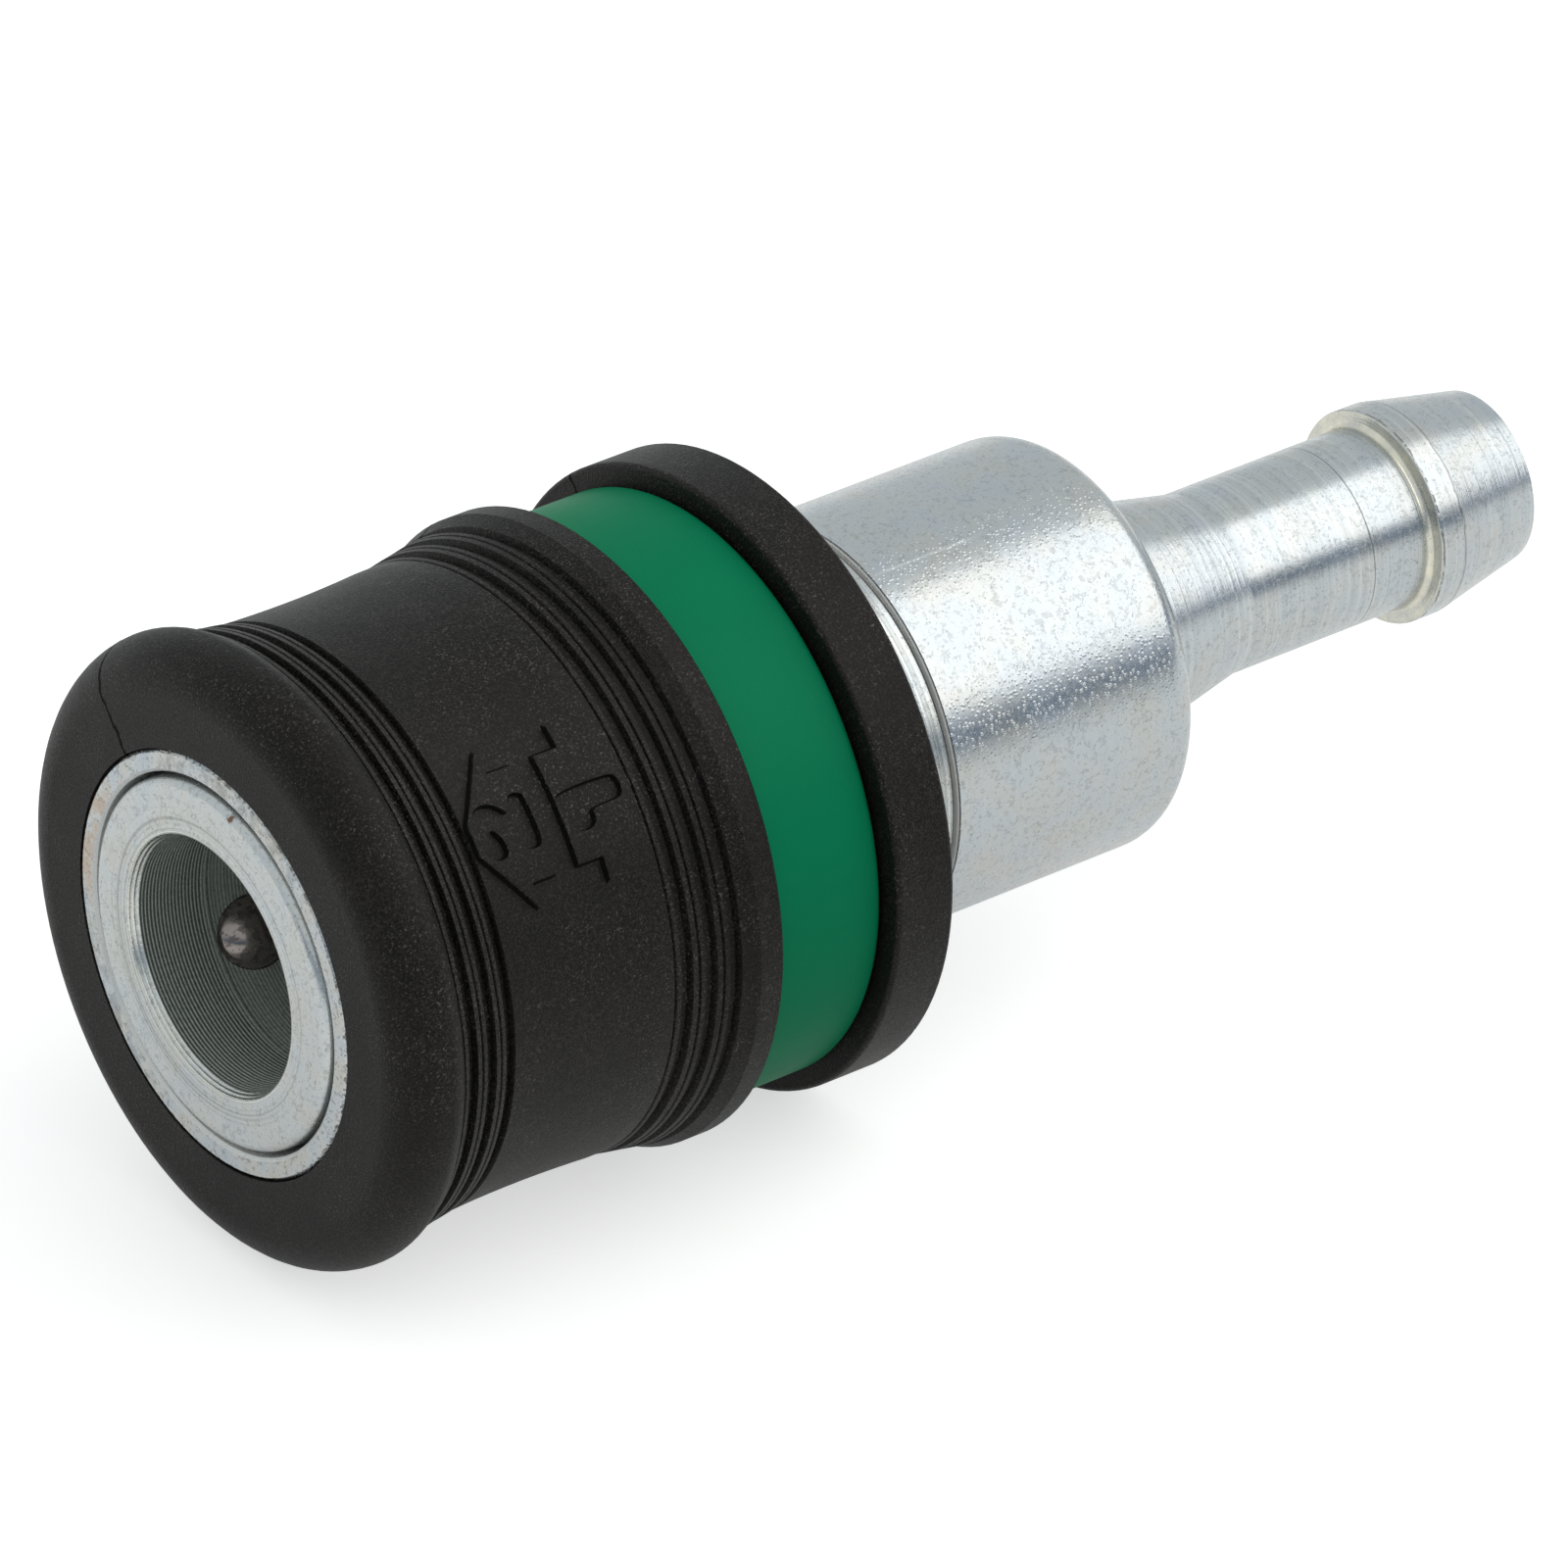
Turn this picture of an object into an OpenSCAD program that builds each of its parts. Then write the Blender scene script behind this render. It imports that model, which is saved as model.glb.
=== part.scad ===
// Two-stage safety coupling for compressed air, with a hose tail.
// X runs along the turned axis from the socket to the hose tail, Z is up, and X = 0 is the
// front face of the steel locking sleeve. All lengths are in millimetres.

/* [Nipple socket] */
// Bore of the socket, for the collar of a nipple
socket_d = 12; // [11.6:0.1:12.4]
// Length of the close-fitting land at the mouth of the socket
socket_land = 3.6; // [3:0.1:3.8]
// How far the socket opens out behind that land, on the radius
socket_relief = 0.2; // [0.2:0.05:0.3]
// Room for the nipple's collar between the locking balls and the inner step
collar_room = 1.8; // [1.7:0.1:2.6]
// Bore behind the inner step, for the nipple's tip
tip_bore_d = 10.1; // [9.9:0.1:10.3]
// How far the tip of a seated nipple reaches behind the front face
nipple_reach = 19.6; // [19:0.1:20]

/* [Nose of the valve body] */
// Outside diameter of the nose
nose_d = 17.6; // [17.3:0.1:17.7]
// How far the nose stands out in front of the locking sleeve
nose_proud = 0.2; // [0:0.1:0.6]
// Rounding of the nose's outer edge
nose_round = 0.5; // [0.2:0.1:0.8]
// Width of the chamfer at the mouth, on the radius
mouth_chamfer = 0.25; // [0.1:0.05:0.35]
// Outside diameter of the body behind the stop ring, where the rings slide
guide_d = 18; // [17.8:0.1:18.2]
// How far the neck between grip and rear housing lies below the housing, on the radius
neck_step = 0.225; // [0.175:0.025:0.5]
// Chamber bore inside the body
chamber_d = 13.8; // [13.6:0.1:14]

/* [Locking balls] */
// Diameter of a locking ball
ball_d = 4; // [3.8:0.1:4.1]
// Number of locking balls
ball_count = 4; // [3:1:4]
// Distance of the ball row behind the front face
ball_x = 6; // [6:0.1:7]
// Turn of the first ball from the top, towards the viewer's left
ball_angle = -119; // [-180:1:180]
// How far a ball moves outwards when the lock opens
ball_lift = 0.95; // [0.9:0.05:1]
// Play between a ball and what it touches
ball_play = 0.03; // [0.02:0.01:0.06]

/* [Locking sleeve] */
// Forward travel that opens the lock
release_travel = 3; // [2.8:0.1:3.2]
// Gap between nose and locking sleeve, on the radius
nose_gap = 0.25; // [0.2:0.05:0.35]
// Outside diameter of the locking sleeve at the front face
sleeve_face_d = 20.2; // [20.2:0.1:20.6]
// Outside diameter of the locking sleeve inside the grip
sleeve_d = 22.6; // [22.4:0.1:22.8]
// Distance of the sleeve's outer step behind the front face
sleeve_step_x = 6.9; // [6.6:0.1:7]

/* [Grip] */
// Largest diameter of the grip
grip_d = 30; // [29.4:0.1:31]
// Diameter of the waist
waist_d = 27.9; // [27.4:0.1:28.4]
// Diameter of the waist where the rear grooves begin
waist_rear_d = 28.3; // [28:0.1:28.6]
// Length of the grip with its rear collar
grip_len = 30.1; // [29.6:0.1:31]
// Length of the inner lip behind the front face
grip_lip = 3.3; // [2.8:0.1:3.5]
// Radius of the rounded front edge
front_round = 2.3; // [2:0.1:2.5]
// Start of the front groove band
front_band_x = 3.5; // [3.4:0.1:3.8]
// Pitch of the front grooves
front_pitch = 1.13; // [1.05:0.01:1.2]
// Width of a front groove
front_groove_w = 0.56; // [0.45:0.01:0.6]
// Distance from the first rear groove to the rear edge of the flange
rear_band_len = 5.1; // [5:0.05:5.4]
// Pitch of the rear grooves
rear_pitch = 1.2; // [1.1:0.01:1.25]
// Width of a rear groove
rear_groove_w = 0.6; // [0.5:0.01:0.65]
// Number of grooves in each band
band_grooves = 3; // [2:1:3]
// Depth of a groove
groove_depth = 0.34; // [0.25:0.01:0.5]
// Width of the thin crest in front of each groove
crest_w = 0.2; // [0.15:0.01:0.24]
// Width of the fine line that sets that crest off
line_w = 0.14; // [0.1:0.01:0.16]
// Depth of that fine line
line_depth = 0.12; // [0.08:0.01:0.2]
// Width of the groove for the colour ring
ring_groove_w = 6.4; // [6:0.1:6.6]
// Length of the rear collar
collar_len = 3.2; // [2.8:0.1:3.4]

/* [Colour ring] */
// Outside diameter of the colour ring
ring_d = 28; // [27.6:0.1:28.6]
// Thickness of the colour ring
ring_t = 1.05; // [0.9:0.05:1.1]
// Rounding of the colour ring's edges
ring_round = 0.35; // [0.2:0.05:0.5]

/* [Drive ring and pins] */
// Rearward travel of the grip that shuts and vents the coupling
vent_travel = 3; // [2.8:0.1:3.2]
// Length of the drive ring
drive_len = 2.4; // [2.2:0.1:2.6]
// Diameter of a drive pin
pin_d = 1.6; // [1.4:0.1:1.7]
// Number of drive pins
pin_count = 3; // [2:1:3]
// Wire of the two snap rings
clip_wire = 0.8; // [0.7:0.05:0.85]
// Opening of a snap or stop ring
clip_gap = 2; // [1.5:0.1:2.5]

/* [Valve] */
// Opening travel of the valve piston
valve_travel = 4; // [3.8:0.1:4.2]
// Gap between piston head and vent sleeve when the valve is open
valve_opening = 1; // [0.9:0.1:1.2]
// Sealing bore of the vent sleeve
seat_bore_d = 9.4; // [9.2:0.1:9.6]
// Outside diameter of the piston's tube
piston_tube_d = 7.8; // [7.4:0.1:8]
// Bore of the piston's tube
piston_bore_d = 6; // [5.6:0.1:6.2]
// Diameter of the piston's stem
stem_d = 3; // [2.8:0.1:3.2]
// Number of windows in the piston's tube
window_count = 3; // [2:1:4]
// Width of a window
window_w = 3; // [2.4:0.1:3.4]
// Length of a window
window_len = 3; // [2.4:0.1:3.4]
// Thickness of the valve guide
guide_t = 2; // [1.8:0.1:2.4]
// Number of air holes in the valve guide
guide_holes = 6; // [4:1:6]
// Diameter of an air hole in the valve guide
guide_hole_d = 2.1; // [1.8:0.1:2.2]

/* [Seals] */
// Section of the nipple seal
nipple_seal_w = 1.9; // [1.8:0.05:1.95]
// Section of the vent, valve and body seals
seal_w = 1; // [0.9:0.05:1.05]

/* [Springs] */
// Wire of the sleeve spring
sleeve_wire = 0.8; // [0.7:0.05:0.85]
// Turns of the sleeve spring
sleeve_turns = 5; // [4:0.5:6]
// Wire of the grip spring
grip_wire = 0.7; // [0.6:0.05:0.8]
// Turns of the grip spring
grip_turns = 3.5; // [3:0.5:4]
// How far the grip spring's seat ends inside the rear of the grip
seat_inset = 0.95; // [0.8:0.05:1.2]
// Wire of the vent spring
vent_wire = 0.7; // [0.6:0.05:0.75]
// Turns of the vent spring
vent_turns = 5; // [4:0.5:5.5]
// Wire of the valve spring
valve_wire = 0.6; // [0.5:0.05:0.65]
// Turns of the valve spring
valve_turns = 5; // [4:0.5:6]

/* [Rear housing and hose tail] */
// Diameter of the rear housing
housing_d = 19.95; // [19.6:0.05:20.6]
// Rear end of the housing's cylinder
housing_end_x = 48.5; // [47.5:0.1:50]
// Rounding of the housing's rear edge
housing_round = 1.5; // [1:0.1:2]
// Gap between the housing and the grip when that is pulled back
joint_gap = 1.2; // [0.9:0.1:1.6]
// Diameter of the thread that joins them
thread_d = 16; // [15.8:0.1:16.2]
// Foot diameter of the cone behind the housing
cone_foot_d = 12; // [11.4:0.1:12.6]
// Rear end of that cone
cone_end_x = 56; // [55:0.1:57]
// Diameter of the hose tail's tube
tail_d = 8.9; // [8.6:0.1:9.1]
// Bore of the hose tail
tail_bore_d = 6.4; // [6:0.1:6.6]
// Diameter of the barb
barb_d = 10.5; // [10.2:0.1:10.8]
// Length of the barb with its land
barb_len = 6.7; // [6.2:0.1:7.4]
// Length of the land on the barb
barb_land = 1.3; // [1.2:0.05:1.6]
// Hollow at the foot of the barb's front
barb_hollow = 0.3; // [0.2:0.05:0.4]
// Diameter of the hose tail's end
tail_end_d = 8.5; // [8.2:0.1:8.7]
// Overall length behind the front face
total_len = 73; // [72:0.5:76]

/* [Hidden] */
$fn = 96;

// Clearances between pieces that slide, seat or only pass
slide_gap = 0.05;
seat_gap = 0.02;
face_gap = 0.1;
// Play of an O-ring in its groove, and between an O-ring and the wall it seals
seal_play = 0.1;
seal_touch = 0.025;
// Smallest wall beside a groove
groove_wall = 0.6;
// Cutters run past the solid by this much
over = 0.5;
// Steps in a rounded edge, and in the hollow of the waist
arc_steps = 8;
waist_steps = 10;

// Nose, socket and seal stations
nose_r = nose_d / 2;
socket_r = socket_d / 2;
tip_r = tip_bore_d / 2;
guide_r = guide_d / 2;
neck_r = housing_d / 2 - neck_step;
chamber_r = chamber_d / 2;
mouth_end_x = mouth_chamfer * 2 - nose_proud;
land_end_x = mouth_end_x + socket_land;
ball_r = ball_d / 2;
socket_end_x = ball_x + ball_r + collar_room;
nipple_groove_x = socket_end_x + 1.5 * groove_wall;
nipple_groove_w = nipple_seal_w + seal_play;
tip_end_x = nipple_groove_x + nipple_groove_w + 1.5 * groove_wall;
// The seal's inside grips a nipple tip that is a little smaller than its bore
nipple_seal_r = tip_r - 0.15 + nipple_seal_w / 2;

// Lock: the ramp is the straight line along which the sleeve frees the balls
land_r = nose_r + nose_gap;
ball_seat_r = land_r - ball_r;
ramp = ball_lift / release_travel;
ramp_at_ball = ball_seat_r + (ball_r + ball_play) * sqrt(1 + ramp * ramp);
ramp_x = ball_x - (ramp_at_ball - land_r) / ramp;
recess_r = land_r + ball_lift + 4 * ball_play;
ramp_end_x = ramp_x + (recess_r - land_r) / ramp;
stop_x = ball_x + ball_r + groove_wall + 0.1;
stop_t = 0.8;
stop_r = ramp_at_ball + ramp * (stop_x - ball_x) - seat_gap;
stop_depth = 0.55;
stop_end_x = stop_x + stop_t;

// Vent sleeve and drive pins
vent_x = tip_end_x + 0.15;
vent_r = chamber_r - slide_gap;
seal_groove_w = seal_w + seal_play;
front_seal_x = vent_x + groove_wall;
pin_r = pin_d / 2;
slot_play = 0.1;
slot_x = front_seal_x + seal_groove_w + 1;
pin_x = slot_x + slot_play + pin_r + release_travel;
slot_end_x = pin_x + pin_r + vent_travel + slot_play;
rear_seal_x = slot_end_x + groove_wall;
vent_tail = 1.4;
vent_end_x = rear_seal_x + seal_groove_w + vent_tail;
vent_seal_r = chamber_r - seal_touch - seal_w / 2;
vent_groove_r = vent_seal_r - seal_w / 2 - seal_touch;
pin_groove_r = vent_groove_r + 0.1;
pin_inner_r = pin_groove_r + slot_play;
chamber_end_x = rear_seal_x + seal_groove_w + vent_travel + 1;

// Valve piston
seat_r = seat_bore_d / 2;
head_x = vent_end_x + valve_opening - valve_travel;
valve_groove_x = head_x + groove_wall;
head_end_x = valve_groove_x + seal_groove_w + groove_wall;
valve_seal_r = seat_r - seal_touch - seal_w / 2;
valve_groove_r = valve_seal_r - seal_w / 2 - seal_touch;
seat_x = valve_groove_x - vent_travel - 0.3;
piston_x = nipple_reach - valve_travel;
piston_flange_t = 1;
piston_r = tip_r - slide_gap;
vent_bore_r = tip_r + slide_gap;

// Rings behind the locking sleeve
drive_x = pin_x - drive_len / 2;
drive_end_x = drive_x + drive_len;
sleeve_r = sleeve_d / 2;
sleeve_end_x = drive_x - face_gap;
seat_ring_t = 1.2;
sleeve_seat_x = sleeve_end_x - 0.8 - seat_ring_t;
bore_r = sleeve_r + 2 * slide_gap;
clip_r = clip_wire / 2;
grip_seat_t = 1;
neck_x = grip_len - seat_inset;
grip_seat_x = neck_x - grip_seat_t;

// Rear housing
joint_x = grip_len + vent_travel + joint_gap;
thread_r = thread_d / 2;
spigot_x = chamber_end_x + seal_w;
spigot_bore_r = chamber_r + 0.1;
guide_x = joint_x + 0.7;
guide_end_x = guide_x + guide_t;
air_step = 1.4;
air_r = spigot_bore_r - air_step;
end_wall = 2.5;
air_end_x = housing_end_x - end_wall;
barb_x = total_len - barb_len;
// Rounding of the barb's front edge
barb_edge = 0.1;
land_x = barb_x + barb_hollow + barb_edge;
barb_r = barb_d / 2;
tail_r = tail_d / 2;
housing_r = housing_d / 2;

// Grip outline
grip_r = grip_d / 2;
waist_r = waist_d / 2;
waist_rear_r = waist_rear_d / 2;
lip_r = sleeve_face_d / 2 + slide_gap;
// The crests of a band rise from the waist to these radii
front_crest_r = waist_r + 0.5;
rear_crest_r = waist_rear_r + 0.6;
collar_x = grip_len - collar_len;
flange_end_x = collar_x - ring_groove_w;
flange_len = 1.3;
rear_band_x = flange_end_x - rear_band_len;
rear_edge_x = rear_band_x - crest_w - line_w;
front_band_end_x = front_band_x + (band_grooves - 1) * front_pitch + front_groove_w;
front_foot_r = waist_r + 0.08;
// Radius at which the rounded front edge meets the first fine line
front_edge_r = front_crest_r + 0.12;
front_edge_x = front_band_x - crest_w - line_w;
ring_floor_r = ring_d / 2 - ring_t - slide_gap;

// Points of a quarter or part of an ellipse, from one angle to another
function arc(cx, cr, rx, rr, from, to) =
    [for (i = [0 : arc_steps])
        let (t = from + (to - from) * i / arc_steps)
            [cx + rx * cos(t), cr + rr * sin(t)]];

// Points of a band of grooves whose crests run in a straight line from r0 to r1. In front of
// each groove, a fine line sets off a thin crest, so every ridge between two grooves is double.
function band(x0, pitch, w, r0, r1) =
    [for (i = [0 : band_grooves - 1])
        let (x = x0 + i * pitch, slope = (r1 - r0) / (band_grooves * pitch), wall = w / 5)
        for (p = [[-crest_w - line_w, 0], [-crest_w - line_w / 2, -line_depth], [-crest_w, 0],
            [0, 0], [wall, -groove_depth], [w - wall, -groove_depth], [w, 0]])
            [x + p[0], r0 + slope * (x + p[0] - x0) + p[1]]];

// Points of a hollow between two places, lowest in the middle
function hollow(x0, r0, x1, r1, low) =
    [for (i = [1 : waist_steps - 1])
        let (t = i / waist_steps, sag = (r0 + r1) / 2 - low)
            [x0 + (x1 - x0) * t, r0 + (r1 - r0) * t - 4 * sag * t * (1 - t)]];

// Solid turned from flat shapes drawn with the radius along x and the axis along y
module spun() {
    rotate([0, 90, 0])
        rotate_extrude()
            children();
}

// Flat shape with an outline of [x, radius] points
module outline(points) {
    polygon([for (p = points) [p[1], p[0]]]);
}

// Solid turned from an outline of [x, radius] points
module turned(points) {
    spun()
        outline(points);
}

// Quarter disc that rounds an outer edge; side -1 is a front edge and 1 a rear one
module edge_round(x, r, radius, side) {
    intersection() {
        translate([r, x])
            circle(radius);
        translate([r, side < 0 ? x - radius : x])
            square(radius);
    }
}

// Plain ring from x0 to x1
module ring(x0, x1, inner, outer) {
    turned([[x0, inner], [x0, outer], [x1, outer], [x1, inner]]);
}

// Round bar bent into a ring, such as an O-ring or a wire ring
module round_ring(x, mean, section) {
    rotate([0, 90, 0])
        translate([0, 0, x])
            rotate_extrude()
                translate([mean, 0])
                    circle(d = section, $fn = 32);
}

// Places its children on the radius at a turn from the top
module at_turn(turn) {
    rotate([turn, 0, 0])
        children();
}

// Round pin along a radius
module radial_pin(x, from, to, d) {
    translate([x, 0, from])
        cylinder(h = to - from, d = d, $fn = 32);
}

// Opening of a snap ring
module ring_opening(x0, x1, outer) {
    translate([x0 - over, -clip_gap / 2, -outer - over])
        cube([x1 - x0 + 2 * over, clip_gap, outer]);
}

// Station along a spring: the end turns lie close and the middle ones share the rest
function coil_x(t, turns, wire, len) =
    let (close = 1.08 * wire, pitch = (len - wire - 2 * close) / (turns - 2))
    t < 1 ? t * close : t > turns - 1 ? len - wire - (turns - t) * close : close + (t - 1) * pitch;

// Coil spring from x0, wound on a mean radius
module coil(x0, len, mean, wire, turns) {
    sides = 8;
    per_turn = 20;
    steps = turns * per_turn;
    // The wire is a polygon in section, so its corners lie on the wire's true radius
    points = [for (i = [0 : steps])
        for (j = [0 : sides - 1])
            let (turn = 360 * i / per_turn, side = 360 * (j + 0.5) / sides,
                r = mean + wire / 2 * cos(side),
                x = x0 + wire / 2 + coil_x(i / per_turn, turns, wire, len) + wire / 2 * sin(side))
                [x, r * sin(turn), r * cos(turn)]];
    walls = [for (i = [0 : steps - 1])
        for (j = [0 : sides - 1])
            let (a = i * sides + j, b = i * sides + (j + 1) % sides)
                for (f = [[a, b, b + sides], [a, b + sides, a + sides]])
                    f];
    first = [for (j = [sides - 1 : -1 : 0]) j];
    last = [for (j = [0 : sides - 1]) steps * sides + j];
    polyhedron(points = points, faces = concat(walls, [first, last]), convexity = 10);
}

// Pocket in which a ball rides, round below so that the ball can't drop into the socket
module ball_pocket() {
    translate([ball_x, 0, ball_seat_r])
        sphere(r = ball_r + ball_play, $fn = 48);
    radial_pin(ball_x, ball_seat_r, nose_r + over, ball_d + 2 * ball_play);
}

// Slot in which a drive pin travels; it also lets the vented air out
module pin_slot() {
    w = pin_d + 2 * slot_play;
    for (x = [slot_x + w / 2, slot_end_x - w / 2])
        radial_pin(x, tip_r, guide_r + over, w);
    translate([slot_x + w / 2, -w / 2, tip_r])
        cube([slot_end_x - slot_x - w, w, guide_r + over - tip_r]);
}

// Turned body that holds the balls, the valve and everything that slides
module valve_body() {
    color("lightsteelblue")
        difference() {
            turned(concat(
                [[-nose_proud, socket_r + mouth_chamfer]],
                arc(nose_round - nose_proud, nose_r - nose_round, nose_round, nose_round, 180, 90),
                [[stop_x, nose_r], [stop_x, nose_r - stop_depth], [stop_end_x, nose_r - stop_depth],
                    [stop_end_x, guide_r], [neck_x, guide_r], [neck_x, neck_r],
                    [joint_x - 2 * face_gap, neck_r], [joint_x, neck_r - 2 * face_gap],
                    [joint_x, thread_r], [chamber_end_x, thread_r], [chamber_end_x, chamber_r],
                    [tip_end_x, chamber_r], [tip_end_x, tip_r],
                    [nipple_groove_x + nipple_groove_w, tip_r],
                    [nipple_groove_x + nipple_groove_w, nipple_seal_r + nipple_seal_w / 2 + seat_gap],
                    [nipple_groove_x, nipple_seal_r + nipple_seal_w / 2 + seat_gap],
                    [nipple_groove_x, tip_r], [socket_end_x, tip_r],
                    [socket_end_x, socket_r + socket_relief], [land_end_x, socket_r + socket_relief],
                    [land_end_x, socket_r], [mouth_end_x, socket_r]]));
            for (i = [0 : ball_count - 1])
                at_turn(ball_angle + i * 360 / ball_count)
                    ball_pocket();
            for (i = [0 : pin_count - 1])
                at_turn(i * 360 / pin_count)
                    pin_slot();
        }
}

// Turned housing with the hose tail, screwed into the back of the body
module rear_housing() {
    round_x = housing_end_x - housing_round;
    round_r = housing_r - housing_round;
    color("silver")
        spun() {
            outline(concat(
                [[spigot_x, spigot_bore_r], [spigot_x, thread_r - slide_gap],
                    [joint_x, thread_r - slide_gap], [joint_x, neck_r + face_gap],
                    [joint_x + face_gap, housing_r], [round_x, housing_r], [round_x, round_r],
                    [housing_end_x, round_r], [housing_end_x, cone_foot_d / 2], [cone_end_x, tail_r]],
                arc(barb_x, tail_r + barb_hollow, barb_hollow, barb_hollow, -90, 0),
                arc(land_x, barb_r - barb_edge, barb_edge, barb_edge, 180, 90),
                [[land_x + barb_land, barb_r], [total_len, tail_end_d / 2], [total_len, tail_bore_d / 2],
                    [housing_end_x, tail_bore_d / 2], [air_end_x, air_r], [guide_end_x, air_r],
                    [guide_end_x, spigot_bore_r]]));
            edge_round(round_x, round_r, housing_round, 1);
        }
}

// Static O-ring between the body's inner step and the housing's spigot
module body_seal() {
    color("dimgray")
        round_ring(chamber_end_x + seal_w / 2, thread_r - seal_touch - seal_w / 2, seal_w);
}

// O-ring that grips the nipple's tip
module nipple_seal() {
    color("dimgray")
        round_ring(nipple_groove_x + nipple_groove_w / 2, nipple_seal_r, nipple_seal_w);
}

// Open ring in the body's groove: it stops the sleeve and carries the sleeve spring
module stop_ring() {
    color("gray")
        difference() {
            ring(stop_x, stop_end_x, nose_r - stop_depth + seat_gap, stop_r);
            ring_opening(stop_x, stop_end_x, stop_r);
        }
}

// Ring on the neck's step that carries the grip spring
module grip_spring_seat() {
    color("gray")
        ring(grip_seat_x, neck_x, guide_r + slide_gap, bore_r - 4 * slide_gap);
}

// Disc that guides the piston's stem and carries both inner springs
module valve_guide() {
    hole_r = (stem_d / 2 + spigot_bore_r) / 2;
    color("goldenrod")
        difference() {
            ring(guide_x, guide_end_x, stem_d / 2 + slide_gap, spigot_bore_r - slide_gap);
            for (i = [0 : guide_holes - 1])
                at_turn(i * 360 / guide_holes)
                    translate([guide_x - over, 0, hole_r])
                        rotate([0, 90, 0])
                            cylinder(h = guide_t + 2 * over, d = guide_hole_d, $fn = 32);
        }
}

// Steel sleeve whose land holds the balls in and whose ramp lets them out
module locking_sleeve() {
    face_r = sleeve_face_d / 2;
    edge = 0.15;
    color("lightgray")
        difference() {
            turned([[edge, land_r], [0, land_r + edge], [0, face_r - edge], [edge, face_r],
                [sleeve_step_x, face_r], [sleeve_step_x + edge, sleeve_r], [sleeve_end_x, sleeve_r],
                [sleeve_end_x, recess_r], [ramp_end_x, recess_r], [ramp_x, land_r]]);
            round_ring(sleeve_seat_x + seat_ring_t / 2, recess_r, clip_wire + 2 * seat_gap);
        }
}

// Ring in the back of the locking sleeve that the sleeve spring pushes on
module sleeve_spring_seat() {
    color("gray")
        difference() {
            ring(sleeve_seat_x, sleeve_seat_x + seat_ring_t, guide_r + slide_gap, recess_r - slide_gap);
            round_ring(sleeve_seat_x + seat_ring_t / 2, recess_r, clip_wire + 2 * seat_gap);
        }
}

// Wire ring that keeps that seat in the locking sleeve
module sleeve_snap_ring() {
    x = sleeve_seat_x + seat_ring_t / 2;
    color("slategray")
        difference() {
            round_ring(x, recess_r, clip_wire);
            ring_opening(x - clip_r, x + clip_r, recess_r + clip_r);
        }
}

// Spring that holds the locking sleeve back
module sleeve_spring() {
    color("slategray")
        coil(stop_end_x, sleeve_seat_x - stop_end_x, (guide_r + recess_r) / 2, sleeve_wire, sleeve_turns);
}

// Moulded grip with its rounded front edge, two groove bands, ring groove and rear collar
module grip() {
    edge = 0.25;
    // The back of the rounded front edge falls as an eighth of an ellipse to the first fine line
    back_len = (front_edge_x - front_round) / cos(45);
    back_high = (grip_r - front_edge_r) / (1 - sin(45));
    color([0.16, 0.15, 0.15])
        difference() {
            spun() {
                outline(concat(
                    [[0, lip_r], [0, grip_r - front_round], [front_round, grip_r - front_round]],
                    arc(front_round, grip_r - back_high, back_len, back_high, 90, 45),
                    band(front_band_x, front_pitch, front_groove_w, front_crest_r, waist_r),
                    hollow(front_band_end_x, front_foot_r, rear_edge_x, waist_rear_r, waist_r),
                    band(rear_band_x, rear_pitch, rear_groove_w, waist_rear_r, rear_crest_r),
                    [[flange_end_x - flange_len, grip_r], [flange_end_x - edge / 2, grip_r],
                        [flange_end_x, grip_r - edge / 2], [flange_end_x, ring_floor_r],
                        [collar_x, ring_floor_r], [collar_x, grip_r - edge]],
                    arc(collar_x + edge, grip_r - edge, edge, edge, 180, 90),
                    arc(grip_len - edge, grip_r - edge, edge, edge, 90, 0),
                    [[grip_len, bore_r + edge], [grip_len - edge, bore_r], [grip_lip, bore_r],
                        [grip_lip, lip_r]]));
                edge_round(front_round, grip_r - front_round, front_round, -1);
            }
            round_ring(pin_x, bore_r, clip_wire + 2 * seat_gap);
        }
}

// Coloured ring in the groove of the grip
module colour_ring() {
    x0 = flange_end_x + slide_gap;
    x1 = collar_x - 3 * slide_gap;
    r = ring_d / 2;
    color("seagreen")
        turned(concat(
            [[x0, r - ring_t], [x0, r - ring_round / 2], [x0 + ring_round / 2, r]],
            arc(x1 - ring_round, r - ring_round, ring_round, ring_round, 90, 0),
            [[x1, r - ring_t]]));
}

// Steel ring clipped into the grip; it pushes the locking sleeve and carries the drive pins
module drive_ring() {
    color("gray")
        difference() {
            ring(drive_x, drive_end_x, guide_r + slide_gap, bore_r - slide_gap);
            round_ring(pin_x, bore_r, clip_wire + 2 * seat_gap);
            for (i = [0 : pin_count - 1])
                at_turn(i * 360 / pin_count)
                    radial_pin(pin_x, tip_r, bore_r, pin_d + 2 * seat_gap);
        }
}

// Wire ring between drive ring and grip
module grip_snap_ring() {
    color("slategray")
        difference() {
            round_ring(pin_x, bore_r, clip_wire);
            ring_opening(pin_x - clip_r, pin_x + clip_r, bore_r + clip_r);
        }
}

// Pin that carries the drive ring's movement through the body to the vent sleeve
module drive_pin(i) {
    color("gainsboro")
        at_turn(i * 360 / pin_count)
            radial_pin(pin_x, pin_inner_r, bore_r - clip_r - 2 * seat_gap, pin_d);
}

// Spring that holds the grip forward
module grip_spring() {
    color("slategray")
        coil(drive_end_x, grip_seat_x - drive_end_x, (guide_r + bore_r) / 2, grip_wire, grip_turns);
}

// Hardened ball that locks the nipple
module locking_ball(i) {
    color("rosybrown")
        at_turn(ball_angle + i * 360 / ball_count)
            translate([ball_x, 0, ball_seat_r])
                sphere(d = ball_d, $fn = 48);
}

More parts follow.
